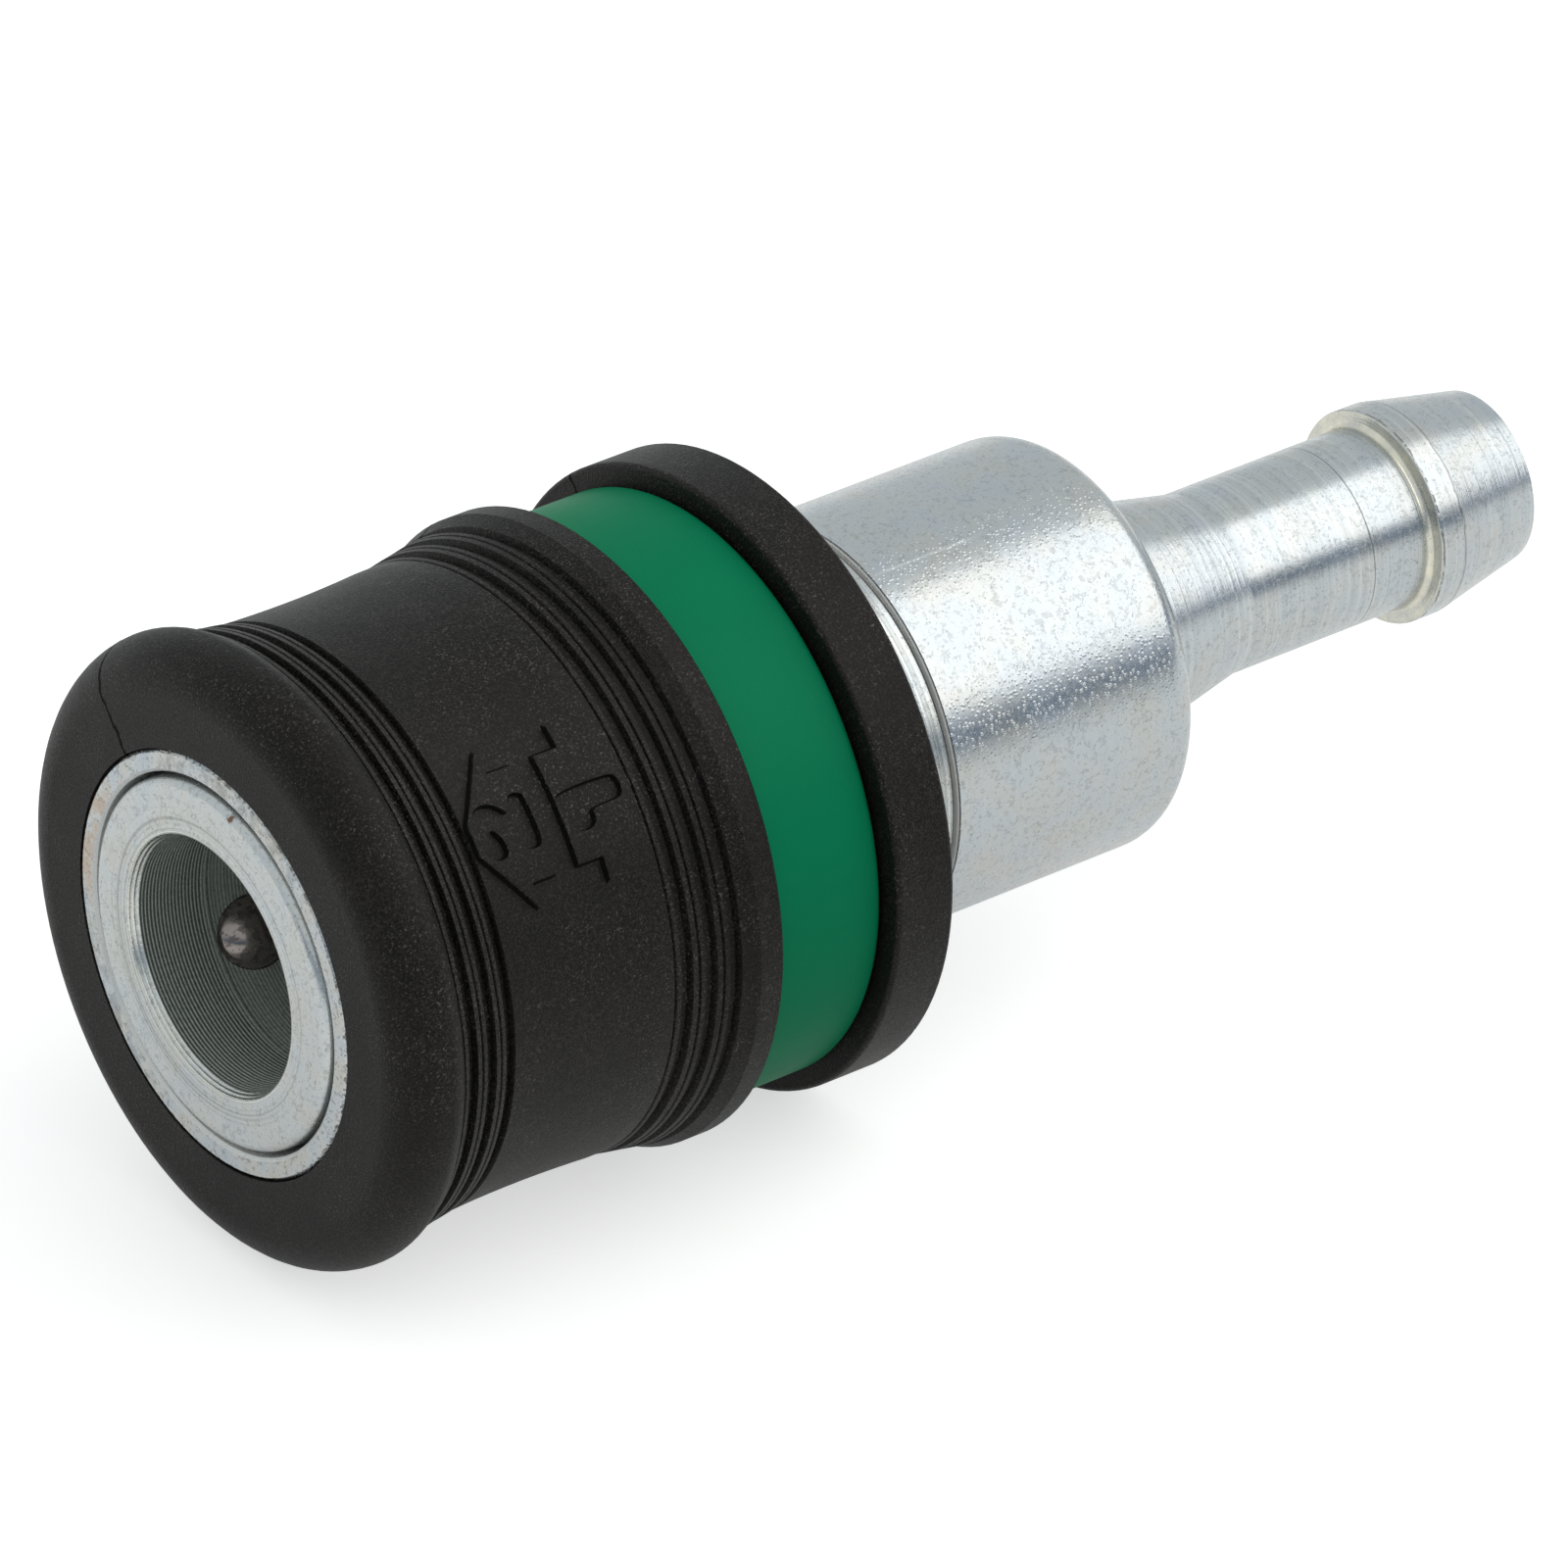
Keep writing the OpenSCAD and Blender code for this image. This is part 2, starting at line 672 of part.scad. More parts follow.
// Sliding sleeve that opens the vent slots and shuts the valve when the grip is pulled back
module vent_sleeve() {
    color("khaki")
        turned([[vent_x, vent_bore_r], [vent_x, vent_r], [front_seal_x, vent_r],
            [front_seal_x, vent_groove_r], [front_seal_x + seal_groove_w, vent_groove_r],
            [front_seal_x + seal_groove_w, vent_r], [slot_x, vent_r], [slot_x, pin_groove_r],
            [pin_x + pin_r + slide_gap, pin_groove_r], [pin_x + pin_r + slide_gap, vent_r],
            [rear_seal_x, vent_r], [rear_seal_x, vent_groove_r],
            [rear_seal_x + seal_groove_w, vent_groove_r], [rear_seal_x + seal_groove_w, vent_r],
            [vent_end_x, vent_r], [vent_end_x, seat_r + 2 * face_gap], [vent_end_x - 2 * face_gap, seat_r],
            [seat_x, seat_r], [seat_x, vent_bore_r]]);
}

// O-ring in a groove of the vent sleeve
module vent_seal(x) {
    color("dimgray")
        round_ring(x + seal_groove_w / 2, vent_seal_r, seal_w);
}

// Spring that holds the vent sleeve forward
module vent_spring() {
    color("slategray")
        coil(vent_end_x, guide_x - vent_end_x, (seat_r + chamber_r) / 2 + 0.3, vent_wire, vent_turns);
}

// Hollow piston that the nipple's tip pushes open, with windows in front of its head
module valve_piston() {
    stem_end_x = guide_end_x + over;
    head_r = seat_r - slide_gap;
    color("goldenrod")
        difference() {
            turned([[piston_x, piston_bore_d / 2], [piston_x, piston_r],
                [piston_x + piston_flange_t, piston_r], [piston_x + piston_flange_t, piston_tube_d / 2],
                [head_x, piston_tube_d / 2], [head_x, head_r], [valve_groove_x, head_r],
                [valve_groove_x, valve_groove_r], [valve_groove_x + seal_groove_w, valve_groove_r],
                [valve_groove_x + seal_groove_w, head_r], [head_end_x, head_r],
                [head_end_x, stem_d / 2], [stem_end_x, stem_d / 2], [stem_end_x, 0],
                [head_x, 0], [head_x, piston_bore_d / 2]]);
            for (i = [0 : window_count - 1])
                at_turn(i * 360 / window_count)
                    translate([head_x - window_len, -window_w / 2, 0])
                        cube([window_len, window_w, piston_tube_d]);
        }
}

// O-ring in the piston's head
module valve_seal() {
    color("dimgray")
        round_ring(valve_groove_x + seal_groove_w / 2, valve_seal_r, seal_w);
}

// Spring that shuts the valve piston
module valve_spring() {
    color("slategray")
        coil(head_end_x, guide_x - head_end_x, stem_d, valve_wire, valve_turns);
}

valve_body();
rear_housing();
body_seal();
nipple_seal();
stop_ring();
grip_spring_seat();
valve_guide();
locking_sleeve();
sleeve_spring_seat();
sleeve_snap_ring();
sleeve_spring();
grip();
colour_ring();
drive_ring();
grip_snap_ring();
drive_pin(0);  // drive_pin_1
drive_pin(1);  // drive_pin_2
drive_pin(2);  // drive_pin_3
grip_spring();
locking_ball(0);  // locking_ball_1
locking_ball(1);  // locking_ball_2
locking_ball(2);  // locking_ball_3
locking_ball(3);  // locking_ball_4
vent_sleeve();
vent_seal(front_seal_x);  // vent_seal_front
vent_seal(rear_seal_x);  // vent_seal_rear
vent_spring();
valve_piston();
valve_seal();
valve_spring();
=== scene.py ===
"""Looks of a two-stage air safety coupling: finishes, marks and studio.

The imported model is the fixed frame. It is in metres: X runs along the turned axis from the
nipple socket to the hose tail, Z is up, and X = 0 is the front face of the steel locking sleeve.
"""

import logging
import math
from dataclasses import dataclass
from enum import Enum
from functools import partial
from typing import Protocol, Sequence

import bpy
from bpy.types import Curve, Material, Node, NodeSocket, NodeTree, Object
from mathutils import Matrix, Vector


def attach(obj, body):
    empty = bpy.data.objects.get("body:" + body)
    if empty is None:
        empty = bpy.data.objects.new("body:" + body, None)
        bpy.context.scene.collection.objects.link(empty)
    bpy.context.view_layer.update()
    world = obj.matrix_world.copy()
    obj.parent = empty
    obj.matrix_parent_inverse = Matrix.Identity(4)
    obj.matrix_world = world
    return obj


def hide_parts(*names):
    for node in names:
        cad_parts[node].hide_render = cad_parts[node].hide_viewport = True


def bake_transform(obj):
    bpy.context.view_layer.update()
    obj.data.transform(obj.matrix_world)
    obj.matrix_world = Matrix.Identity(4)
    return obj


LOG = logging.getLogger("coupling")
Pair = tuple[float, float]
MM = 0.001
# Merges the doubled corners of a mesh, in metres
WELD = 1e-7
# Turn of the arrows' middle line from the grip's top, in degrees
ARROW_TURN = 50.0
# Mean radius of the grip's waist in millimetres
WAIST = 14.1
# Settings of a mask's edge: how it eases, and the values of one that falls
SMOOTH = {"interpolation_type": "SMOOTHSTEP"}
FALL = {"To Min": 1.0, "To Max": 0.0}

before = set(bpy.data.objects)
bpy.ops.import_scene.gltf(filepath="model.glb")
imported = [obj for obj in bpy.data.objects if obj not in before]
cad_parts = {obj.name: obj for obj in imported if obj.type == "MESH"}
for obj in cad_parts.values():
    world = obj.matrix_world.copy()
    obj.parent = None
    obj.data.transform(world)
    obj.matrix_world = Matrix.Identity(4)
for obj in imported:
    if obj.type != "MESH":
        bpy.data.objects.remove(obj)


def linear(colour: str) -> tuple[float, float, float, float]:
    """Turns an sRGB hex colour to linear light.

    Args:
        colour: Colour such as "#c0c2c4".

    Returns:
        Red, green, blue and an alpha of 1.
    """
    parts = [int(colour[i : i + 2], 16) / 255 for i in (1, 3, 5)]
    return (*(p / 12.92 if p <= 0.04045 else ((p + 0.055) / 1.055) ** 2.4 for p in parts), 1.0)


def output(source: object) -> object:
    """Gives a node's first enabled output, and anything else as it is."""
    if isinstance(source, Node):
        return next(socket for socket in source.outputs if socket.enabled)
    return source


def add_node(tree: NodeTree, kind: str, inputs: dict | None = None, **settings: object) -> Node:
    """Adds a node with its settings and links.

    Args:
        tree: Tree to add to.
        kind: Node type without its "ShaderNode" prefix.
        inputs: For each input's name or number, a value, a socket or a node.
        settings: Properties of the node.

    Returns:
        The new node.
    """
    node = tree.nodes.new("ShaderNode" + kind)
    for key, value in settings.items():
        setattr(node, key, value)
    for key, value in (inputs or {}).items():
        value = output(value)
        if isinstance(value, NodeSocket):
            tree.links.new(value, node.inputs[key])
        else:
            node.inputs[key].default_value = value
    return node


class Bench:
    """Node tree of one finish, with the coupling's turned coordinates in millimetres.

    Attributes:
        add: Adds a node to this tree, as add_node does.
        point: Place on the piece.
        x: Distance along the axis.
        y: Distance to the left of the axis, away from the viewer.
        radius: Distance from the axis.
        turn: Angle about the axis, from the top towards the viewer, in radians.
    """

    def __init__(self, name: str) -> None:
        """Starts an empty material with its shader.

        Args:
            name: Name of the material.
        """
        self.material = bpy.data.materials.new(name)
        self.material.use_nodes = True
        self.tree = self.material.node_tree
        self.tree.nodes.clear()
        self.add = partial(add_node, self.tree)
        self.shader = self.add("BsdfPrincipled")
        self.add("OutputMaterial", {"Surface": self.shader})
        place = self.add("TexCoord").outputs["Object"]
        self.point = self.add("Mapping", {"Vector": place, "Scale": (1000, 1000, 1000)})
        split = self.add("SeparateXYZ", {0: self.point})
        self.x, self.y, z = split.outputs
        across = self.add("CombineXYZ", {"Y": self.y, "Z": z})
        self.radius = self.add("VectorMath", {0: across}, operation="LENGTH").outputs["Value"]
        to_viewer = self.add("Math", {0: self.y, 1: -1.0}, operation="MULTIPLY")
        self.turn = self.add("Math", {0: to_viewer, 1: z}, operation="ARCTAN2")

    def link(self, source: object, name: str) -> None:
        """Links a node or socket to the shader's input of that name."""
        self.tree.links.new(output(source), self.shader.inputs[name])

    def finish(
        self, colour: object, roughness: object, height: object, depth_mm: float, **constants: object
    ) -> Material:
        """Links colour, roughness and relief to the shader and sets its constants.

        Args:
            colour: Node or socket with the base colour.
            roughness: Node or socket with the roughness.
            height: Node or socket with the relief, from 0 to 1.
            depth_mm: Real height of the relief in millimetres.
            constants: Values for the shader's own sockets, with _ for a space.

        Returns:
            The finished material.
        """
        bump = self.add("Bump", {"Height": height, "Distance": depth_mm * MM, "Strength": 1.0})
        for name, source in (("Base Color", colour), ("Roughness", roughness), ("Normal", bump)):
            self.link(source, name)
        for name, value in constants.items():
            self.shader.inputs[name.replace("_", " ")].default_value = value
        return self.material


class Finish(Protocol):
    """Anything that builds a material."""

    def make(self) -> Material:
        """Builds the material."""


def spots(bench: Bench, size_mm: float, share: float, soft: float = 0.04, detail: float = 3.0) -> Node:
    """Mask of scattered spots.

    Args:
        bench: Node tree to add to.
        size_mm: Usual size of a spot.
        share: Noise level from which there is a spot; higher gives fewer.
        soft: Width of a spot's edge in noise levels.
        detail: Raggedness of the spots.

    Returns:
        Node that gives 1 in a spot and 0 elsewhere.
    """
    noise = bench.add(
        "TexNoise", {"Vector": bench.point, "Scale": 0.5 / size_mm, "Detail": detail, "Roughness": 0.6}
    )
    span = {"From Min": share - soft, "From Max": share + soft}
    return bench.add("MapRange", {"Value": noise, **span}, **SMOOTH)


def zone(bench: Bench, value: object, low: float, high: float, soft: float) -> Node:
    """Mask of a stretch along one coordinate.

    Args:
        bench: Node tree to add to.
        value: Coordinate.
        low: Start of the stretch.
        high: End of the stretch.
        soft: Width over which the mask fades.

    Returns:
        Node that gives 1 inside the stretch and 0 outside.
    """
    start = {"From Min": low - soft, "From Max": low + soft}
    rise = bench.add("MapRange", {"Value": value, **start}, **SMOOTH)
    end = {"From Min": high - soft, "From Max": high + soft, **FALL}
    fall = bench.add("MapRange", {"Value": value, **end}, **SMOOTH)
    return bench.add("Math", {0: rise, 1: fall}, operation="MULTIPLY")


def tinted(bench: Bench, base: object, *layers: tuple[object, str, float]) -> Node:
    """Lays colours over one another, each where its mask says.

    Args:
        bench: Node tree to add to.
        base: Lowest colour, as a node or an sRGB hex value.
        layers: For each colour its mask from 0 to 1, its sRGB hex value and how much of it shows.

    Returns:
        Node with the mixed colour.
    """
    colour = linear(base) if isinstance(base, str) else base
    for mask, top, amount in layers:
        factor = bench.add("Math", {0: mask, 1: amount}, operation="MULTIPLY")
        colour = bench.add("Mix", {0: factor, 6: colour, 7: linear(top)}, data_type="RGBA")
    return colour


def total(bench: Bench, terms: Sequence[tuple[object, float]], start: float = 0.0) -> Node:
    """Adds up weighted terms.

    Args:
        bench: Node tree to add to.
        terms: Pairs of a node or socket and its weight.
        start: Value to add to.

    Returns:
        Node with the sum.
    """
    result: object = start
    for source, weight in terms:
        result = bench.add("Math", {0: source, 1: weight, 2: result}, operation="MULTIPLY_ADD")
    return result


def dashes(bench: Bench, length_mm: float, share: float, width: float = 0.03) -> Node:
    """Mask of short, thin, curved scratches in all directions.

    Args:
        bench: Node tree to add to.
        length_mm: Usual length of a scratch.
        share: Noise level from which there is a scratch; higher gives fewer.
        width: Half width of a scratch in noise levels.

    Returns:
        Node that gives 1 in a scratch and 0 elsewhere.
    """
    wave = bench.add(
        "TexNoise", {"Vector": bench.point, "Scale": 0.6 / length_mm, "Detail": 3.0, "Roughness": 0.7}
    )
    line = bench.add("Math", {0: wave, 1: 0.5, 2: width}, operation="COMPARE")
    where = spots(bench, 0.5 * length_mm, share, 0.05, 1.0)
    return bench.add("Math", {0: line, 1: where}, operation="MULTIPLY")


def turned_marks(bench: Bench, pitch_mm: float, length_mm: float = 60.0) -> Node:
    """Fine rings that a turning tool leaves, on cylinders, cones and faces alike.

    Args:
        bench: Node tree to add to.
        pitch_mm: Usual distance between two rings.
        length_mm: Usual way round after which a mark fades.

    Returns:
        Node with the height of the rings, from 0 to 1.
    """
    along = bench.add("Math", {0: bench.x, 1: bench.radius}, operation="ADD")
    slow = pitch_mm / length_mm
    around = bench.add("Mapping", {"Vector": bench.point, "Scale": (0, slow, slow)})
    return bench.add(
        "TexNoise",
        {"Vector": around, "W": along, "Scale": 0.5 / pitch_mm, "Detail": 2.0},
        noise_dimensions="4D",
    )


@dataclass(frozen=True)
class ZincPlate:
    """Turned steel, electroplated with clear-passivated zinc.

    The eye sees a blue-white metal with soft reflections, a fine grain, small dark pits from
    tumbling, faint yellow patches and the rings of the turning tool. Lengths are in millimetres,
    here and in the platings below.

    Attributes:
        name: Name of the material.
        colour: Base colour of the plating.
        roughness: Usual roughness.
        rings: Strength of the turning rings, from 0 to 1.
        ring_pitch: Distance between rings.
        pits: Strength of the dark pits.
        pebbles: Strength of the blisters in the plating.
        dirt: Strength of the grey and warm film.
    """

    name: str
    colour: str = "#c6c9ca"
    roughness: float = 0.27
    rings: float = 0.3
    ring_pitch: float = 0.14
    pits: float = 0.5
    pebbles: float = 0.4
    dirt: float = 0.25

    def make(self) -> Material:
        """Builds the material."""
        bench = Bench(self.name)
        # Grain of 0.12 mm, coarser than the real 0.02 mm, which no pixel would show
        grain = bench.add("TexNoise", {"Vector": bench.point, "Scale": 4.0, "Detail": 5.0, "Roughness": 0.65})
        cloud = bench.add("TexNoise", {"Vector": bench.point, "Scale": 0.5, "Detail": 2.0})
        film = bench.add("MapRange", {"Value": cloud, "From Min": 0.48, "From Max": 0.75})
        cool = bench.add("MapRange", {"Value": cloud, "From Min": 0.52, "From Max": 0.25})
        pits = spots(bench, 0.07, 0.63, 0.03)
        scratches = dashes(bench, 0.4, 0.54)
        # Blisters 0.15 mm across, in patches
        blister = bench.add("TexVoronoi", {"Vector": bench.point, "Scale": 4.4, "Randomness": 1.0})
        span = {"From Min": 0.1, "From Max": 0.42, **FALL}
        dome = bench.add("MapRange", {"Value": blister, **span}, **SMOOTH)
        domes = bench.add("Math", {0: dome, 1: self.patches(bench)}, operation="MULTIPLY")
        rings = turned_marks(bench, self.ring_pitch)
        colour = tinted(
            bench, self.colour, (film, "#cfc3ab", self.dirt), (cool, "#b3c2d2", self.dirt),
            (grain, "#a6afb4", 0.22), (rings, "#868d90", 0.5 * self.rings),
            (pits, "#6f7372", self.pits), (scratches, "#6b6f70", 0.8 * self.pits),
        )
        colour, marks = self.marks(bench, colour)
        dull = [(grain, 0.2), (pits, 0.2), (rings, 0.1 * self.rings)]
        roughness = total(bench, dull, self.roughness - 0.12)
        relief = [
            (grain, 0.35), (pits, -0.35 * self.pits), (domes, 2.8 * self.pebbles), (rings, 0.9 * self.rings),
            (scratches, -0.6 * self.pits), *marks,
        ]
        return bench.finish(colour, roughness, total(bench, relief, 0.3), 0.012, Metallic=1.0)

    def patches(self, bench: Bench) -> Node:
        """Mask of the patches, about 3 mm across, in which the plating is blistered."""
        return spots(bench, 1.6, 0.42, 0.1, 2.0)

    def marks(self, bench: Bench, colour: Node) -> tuple[Node, list]:
        """Adds what only one piece shows; the plain plating has none.

        Args:
            bench: Node tree to add to.
            colour: Colour so far.

        Returns:
            Node with the colour, and pairs of a mask and how high it stands.
        """
        return colour, []


@dataclass(frozen=True)
class SocketPlate(ZincPlate):
    """Plating of the valve body: dark in the bore, which the bath hardly reaches, bright outside.

    The bore keeps the dull grey skin and the rings of the boring tool, the nose has fine rings
    round its mouth and one small spot of rust, and dirt sits where the neck meets the housing.

    Attributes:
        bore_radius: Radius up to which the surface counts as bore.
        bore_x: Place along the axis from which it does.
        feed: Distance between two rings in the bore, drawn a little coarser than the real one so
            that it shows.
        land: Place where the smooth land at the mouth ends, with the width of the change; behind it the bore
            is painted paler as painted light.
        face: Inner and outer radius of the rings round the mouth.
        neck: Start and end of the rings on the neck.
        chamfer: Inner and outer radius of the steps that the chamfering tool left, whose crests are painted
            near-white as painted highlights.
        chamfer_step: Width of such a step.
        rust_place: Centre of the rust spot.
        rust_edge: Distances from its centre between which the rust fades.
        joint: Start and end of the dirt on the neck.
    """

    bore_radius: float = 6.3
    bore_x: float = 0.28
    feed: float = 0.19
    land: Pair = (3.6, 3.8)
    face: Pair = (6.2, 7.4)
    neck: Pair = (29.0, 34.2)
    chamfer: Pair = (6.02, 6.4)
    chamfer_step: float = 0.1
    rust_place: tuple[float, float, float] = (-0.05, -1.8, 8.35)
    rust_edge: Pair = (0.18, 0.34)
    joint: Pair = (34.24, 34.33)

    def marks(self, bench: Bench, colour: Node) -> tuple[Node, list]:
        """Gives the bore its skin with painted light behind the land, and adds rings, painted highlights on
        the chamfer steps, rust and dirt.
        """
        bore = bench.add("Math", {0: bench.radius, 1: self.bore_radius}, operation="LESS_THAN")
        inside = bench.add("Math", {0: bench.x, 1: self.bore_x}, operation="GREATER_THAN")
        bore = bench.add("Math", {0: bore, 1: inside}, operation="MULTIPLY")
        wave = bench.add("Math", {0: bench.x, 1: 2 * math.pi / self.feed}, operation="MULTIPLY")
        wave = bench.add("Math", {0: wave}, operation="SINE")
        crest = bench.add("MapRange", {"Value": wave, "From Min": -0.1, "From Max": 0.9})
        start, end = self.land
        # Behind the land the skin is painted paler, as painted light against the shade of the step
        painted_light_behind_land = bench.add("MapRange", {"Value": bench.x, "From Min": start, "From Max": end})
        skin = tinted(bench, "#626862", (crest, "#e2e7df", 0.9), (painted_light_behind_land, "#c9cec6", 0.35))
        colour = bench.add("Mix", {0: bore, 6: colour, 7: skin}, data_type="RGBA")
        # The skin is mostly oxide, so it shines far less than the plating
        bench.link(bench.add("Math", {0: bore, 1: -0.75, 2: 1.0}, operation="MULTIPLY_ADD"), "Metallic")
        face = zone(bench, bench.radius, *self.face, 0.2)
        neck = zone(bench, bench.x, *self.neck, 0.05)
        where = bench.add("Math", {0: face, 1: neck}, operation="MAXIMUM")
        tool = turned_marks(bench, 0.09, 20.0)
        rings = bench.add("MapRange", {"Value": tool, "From Min": 0.5, "From Max": 0.6})
        rings = bench.add("Math", {0: rings, 1: where}, operation="MULTIPLY")
        step = bench.add("Math", {0: bench.radius, 1: 2 * math.pi / self.chamfer_step}, operation="MULTIPLY")
        step = bench.add("Math", {0: step}, operation="SINE")
        mouth = zone(bench, bench.radius, *self.chamfer, 0.03)
        steps = bench.add("Math", {0: step, 1: mouth}, operation="MULTIPLY")
        # The crests of the chamfer steps get a painted highlight
        bright = bench.add("Math", {0: steps, 1: 0.0}, operation="MAXIMUM")
        gap = bench.add("VectorMath", {0: bench.point, 1: self.rust_place}, operation="DISTANCE")
        ragged = total(bench, [(spots(bench, 0.12, 0.5, 0.15), 0.12), (gap.outputs["Value"], 1.0)])
        full, bare = self.rust_edge
        span = {"From Min": full, "From Max": bare, **FALL}
        rust = bench.add("MapRange", {"Value": ragged, **span}, **SMOOTH)
        joint = zone(bench, bench.x, *self.joint, 0.05)
        colour = tinted(
            bench, colour, (rings, "#7e8079", 0.45), (bright, "#f4f2e4", 0.8),
            (rust, "#6e4a33", 0.9), (joint, "#4c443b", 0.85),
        )
        return colour, [(rings, -0.8), (rust, 0.8), (steps, 0.6)]


@dataclass(frozen=True)
class HousingPlate(ZincPlate):
    """Plating of the rear housing, blistered in front and with tool marks on the hose tail.

    Attributes:
        streak_turn: Turn of a pale streak along the front of the cylinder, in degrees.
        streak: Start and end of that streak.
        blistered: Turns from the top, in degrees, between which blisters crowd.
        painted_light_lip: Start and end of the front edge at the joint, painted pale and matt as painted
            light in the grip's shade.
        tail_x: Place from which the tool marks are strong.
        tool_line_x: Place of the line that the tool left where it was set back.
        flank_tint_and_painted_light: Start and end of the front of the barb, which has a real yellow tint and
            is painted pale as painted light.
        edge_x: Chipped front edge of the barb.
        land_end_x: Dark, broken line behind the barb's land.
    """

    streak_turn: float = 19.2
    streak: Pair = (34.9, 40.2)
    blistered: tuple[Pair, ...] = ((10.0, 30.0), (60.0, 77.0))
    painted_light_lip: Pair = (34.2, 34.36)
    tail_x: float = 50.0
    tool_line_x: float = 63.2
    flank_tint_and_painted_light: Pair = (66.3, 66.62)
    edge_x: float = 66.72
    land_end_x: float = 68.02

    def patches(self, bench: Bench) -> Node:
        """Mask of the blisters: few all round, many along two stripes, and none on the turned tail."""
        mask = total(bench, [(spots(bench, 1.6, 0.46, 0.1, 2.0), 0.45)])
        for low, high in self.blistered:
            stripe = zone(bench, bench.turn, math.radians(low), math.radians(high), 0.08)
            mask = bench.add("Math", {0: mask, 1: stripe}, operation="MAXIMUM")
        span = {"From Min": self.tail_x - 2.5, "From Max": self.tail_x - 1.0, **FALL}
        front = bench.add("MapRange", {"Value": bench.x, **span})
        return bench.add("Math", {0: mask, 1: front}, operation="MULTIPLY")

    def marks(self, bench: Bench, colour: Node) -> tuple[Node, list]:
        """Adds the tool marks, lines, chips, a pale streak, the barb's tint with painted light, and painted
        light on the lip.
        """
        span = {"From Min": self.tail_x - 1.5, "From Max": self.tail_x + 1.5}
        tail = bench.add("MapRange", {"Value": bench.x, **span})
        tool = turned_marks(bench, 0.08, 6.0)
        pale = bench.add("MapRange", {"Value": tool, "From Min": 0.54, "From Max": 0.7})
        pale = bench.add("Math", {0: pale, 1: tail}, operation="MULTIPLY")
        dull = bench.add("MapRange", {"Value": tool, "From Min": 0.46, "From Max": 0.32})
        dull = bench.add("Math", {0: dull, 1: tail}, operation="MULTIPLY")
        broken = spots(bench, 0.35, 0.47, 0.06)
        wander = bench.add("TexNoise", {"Vector": bench.point, "Scale": 1.3, "Detail": 2.0})
        ragged_x = total(bench, [(wander, 0.2), (bench.x, 1.0)], -0.1)
        line = zone(bench, bench.x, self.tool_line_x - 0.03, self.tool_line_x + 0.03, 0.03)
        land = zone(bench, ragged_x, self.land_end_x - 0.05, self.land_end_x + 0.05, 0.04)
        edge = zone(bench, ragged_x, self.edge_x - 0.04, self.edge_x + 0.04, 0.03)
        chips = bench.add("Math", {0: edge, 1: broken}, operation="MULTIPLY")
        dark = bench.add("Math", {0: total(bench, [(land, 0.6)]), 1: chips}, operation="MAXIMUM")
        # The barb's front looks back at the dark side; its pale yellow is partly the plating's tint and
        # partly painted light
        flank_tint_and_painted_light = zone(bench, bench.x, *self.flank_tint_and_painted_light, 0.05)
        flank_tint_and_painted_light = bench.add("Math", {0: flank_tint_and_painted_light, 1: wander}, operation="MULTIPLY")
        # The lip stands in the grip's shade, so it is painted pale and made matt as painted light
        painted_light_lip = zone(bench, bench.x, *self.painted_light_lip, 0.03)
        bench.link(bench.add("Math", {0: painted_light_lip, 1: -1.0, 2: 1.0}, operation="MULTIPLY_ADD"), "Metallic")
        turn = math.radians(self.streak_turn)
        line_turn = zone(bench, bench.turn, turn - 0.006, turn + 0.006, 0.01)
        line_x = zone(bench, bench.x, *self.streak, 0.6)
        streak = bench.add("Math", {0: line_turn, 1: line_x}, operation="MULTIPLY")
        colour = tinted(
            bench, colour, (pale, "#e6e9e8", 0.3), (dull, "#9aa2a6", 0.3), (line, "#73777a", 0.8),
            (flank_tint_and_painted_light, "#efe9d6", 1.3), (dark, "#55554f", 0.75), (painted_light_lip, "#eeede8", 1.0), (streak, "#f3f6f6", 0.5),
        )
        return colour, [(pale, 0.35), (dull, -0.35), (line, -1.0), (dark, -1.5)]


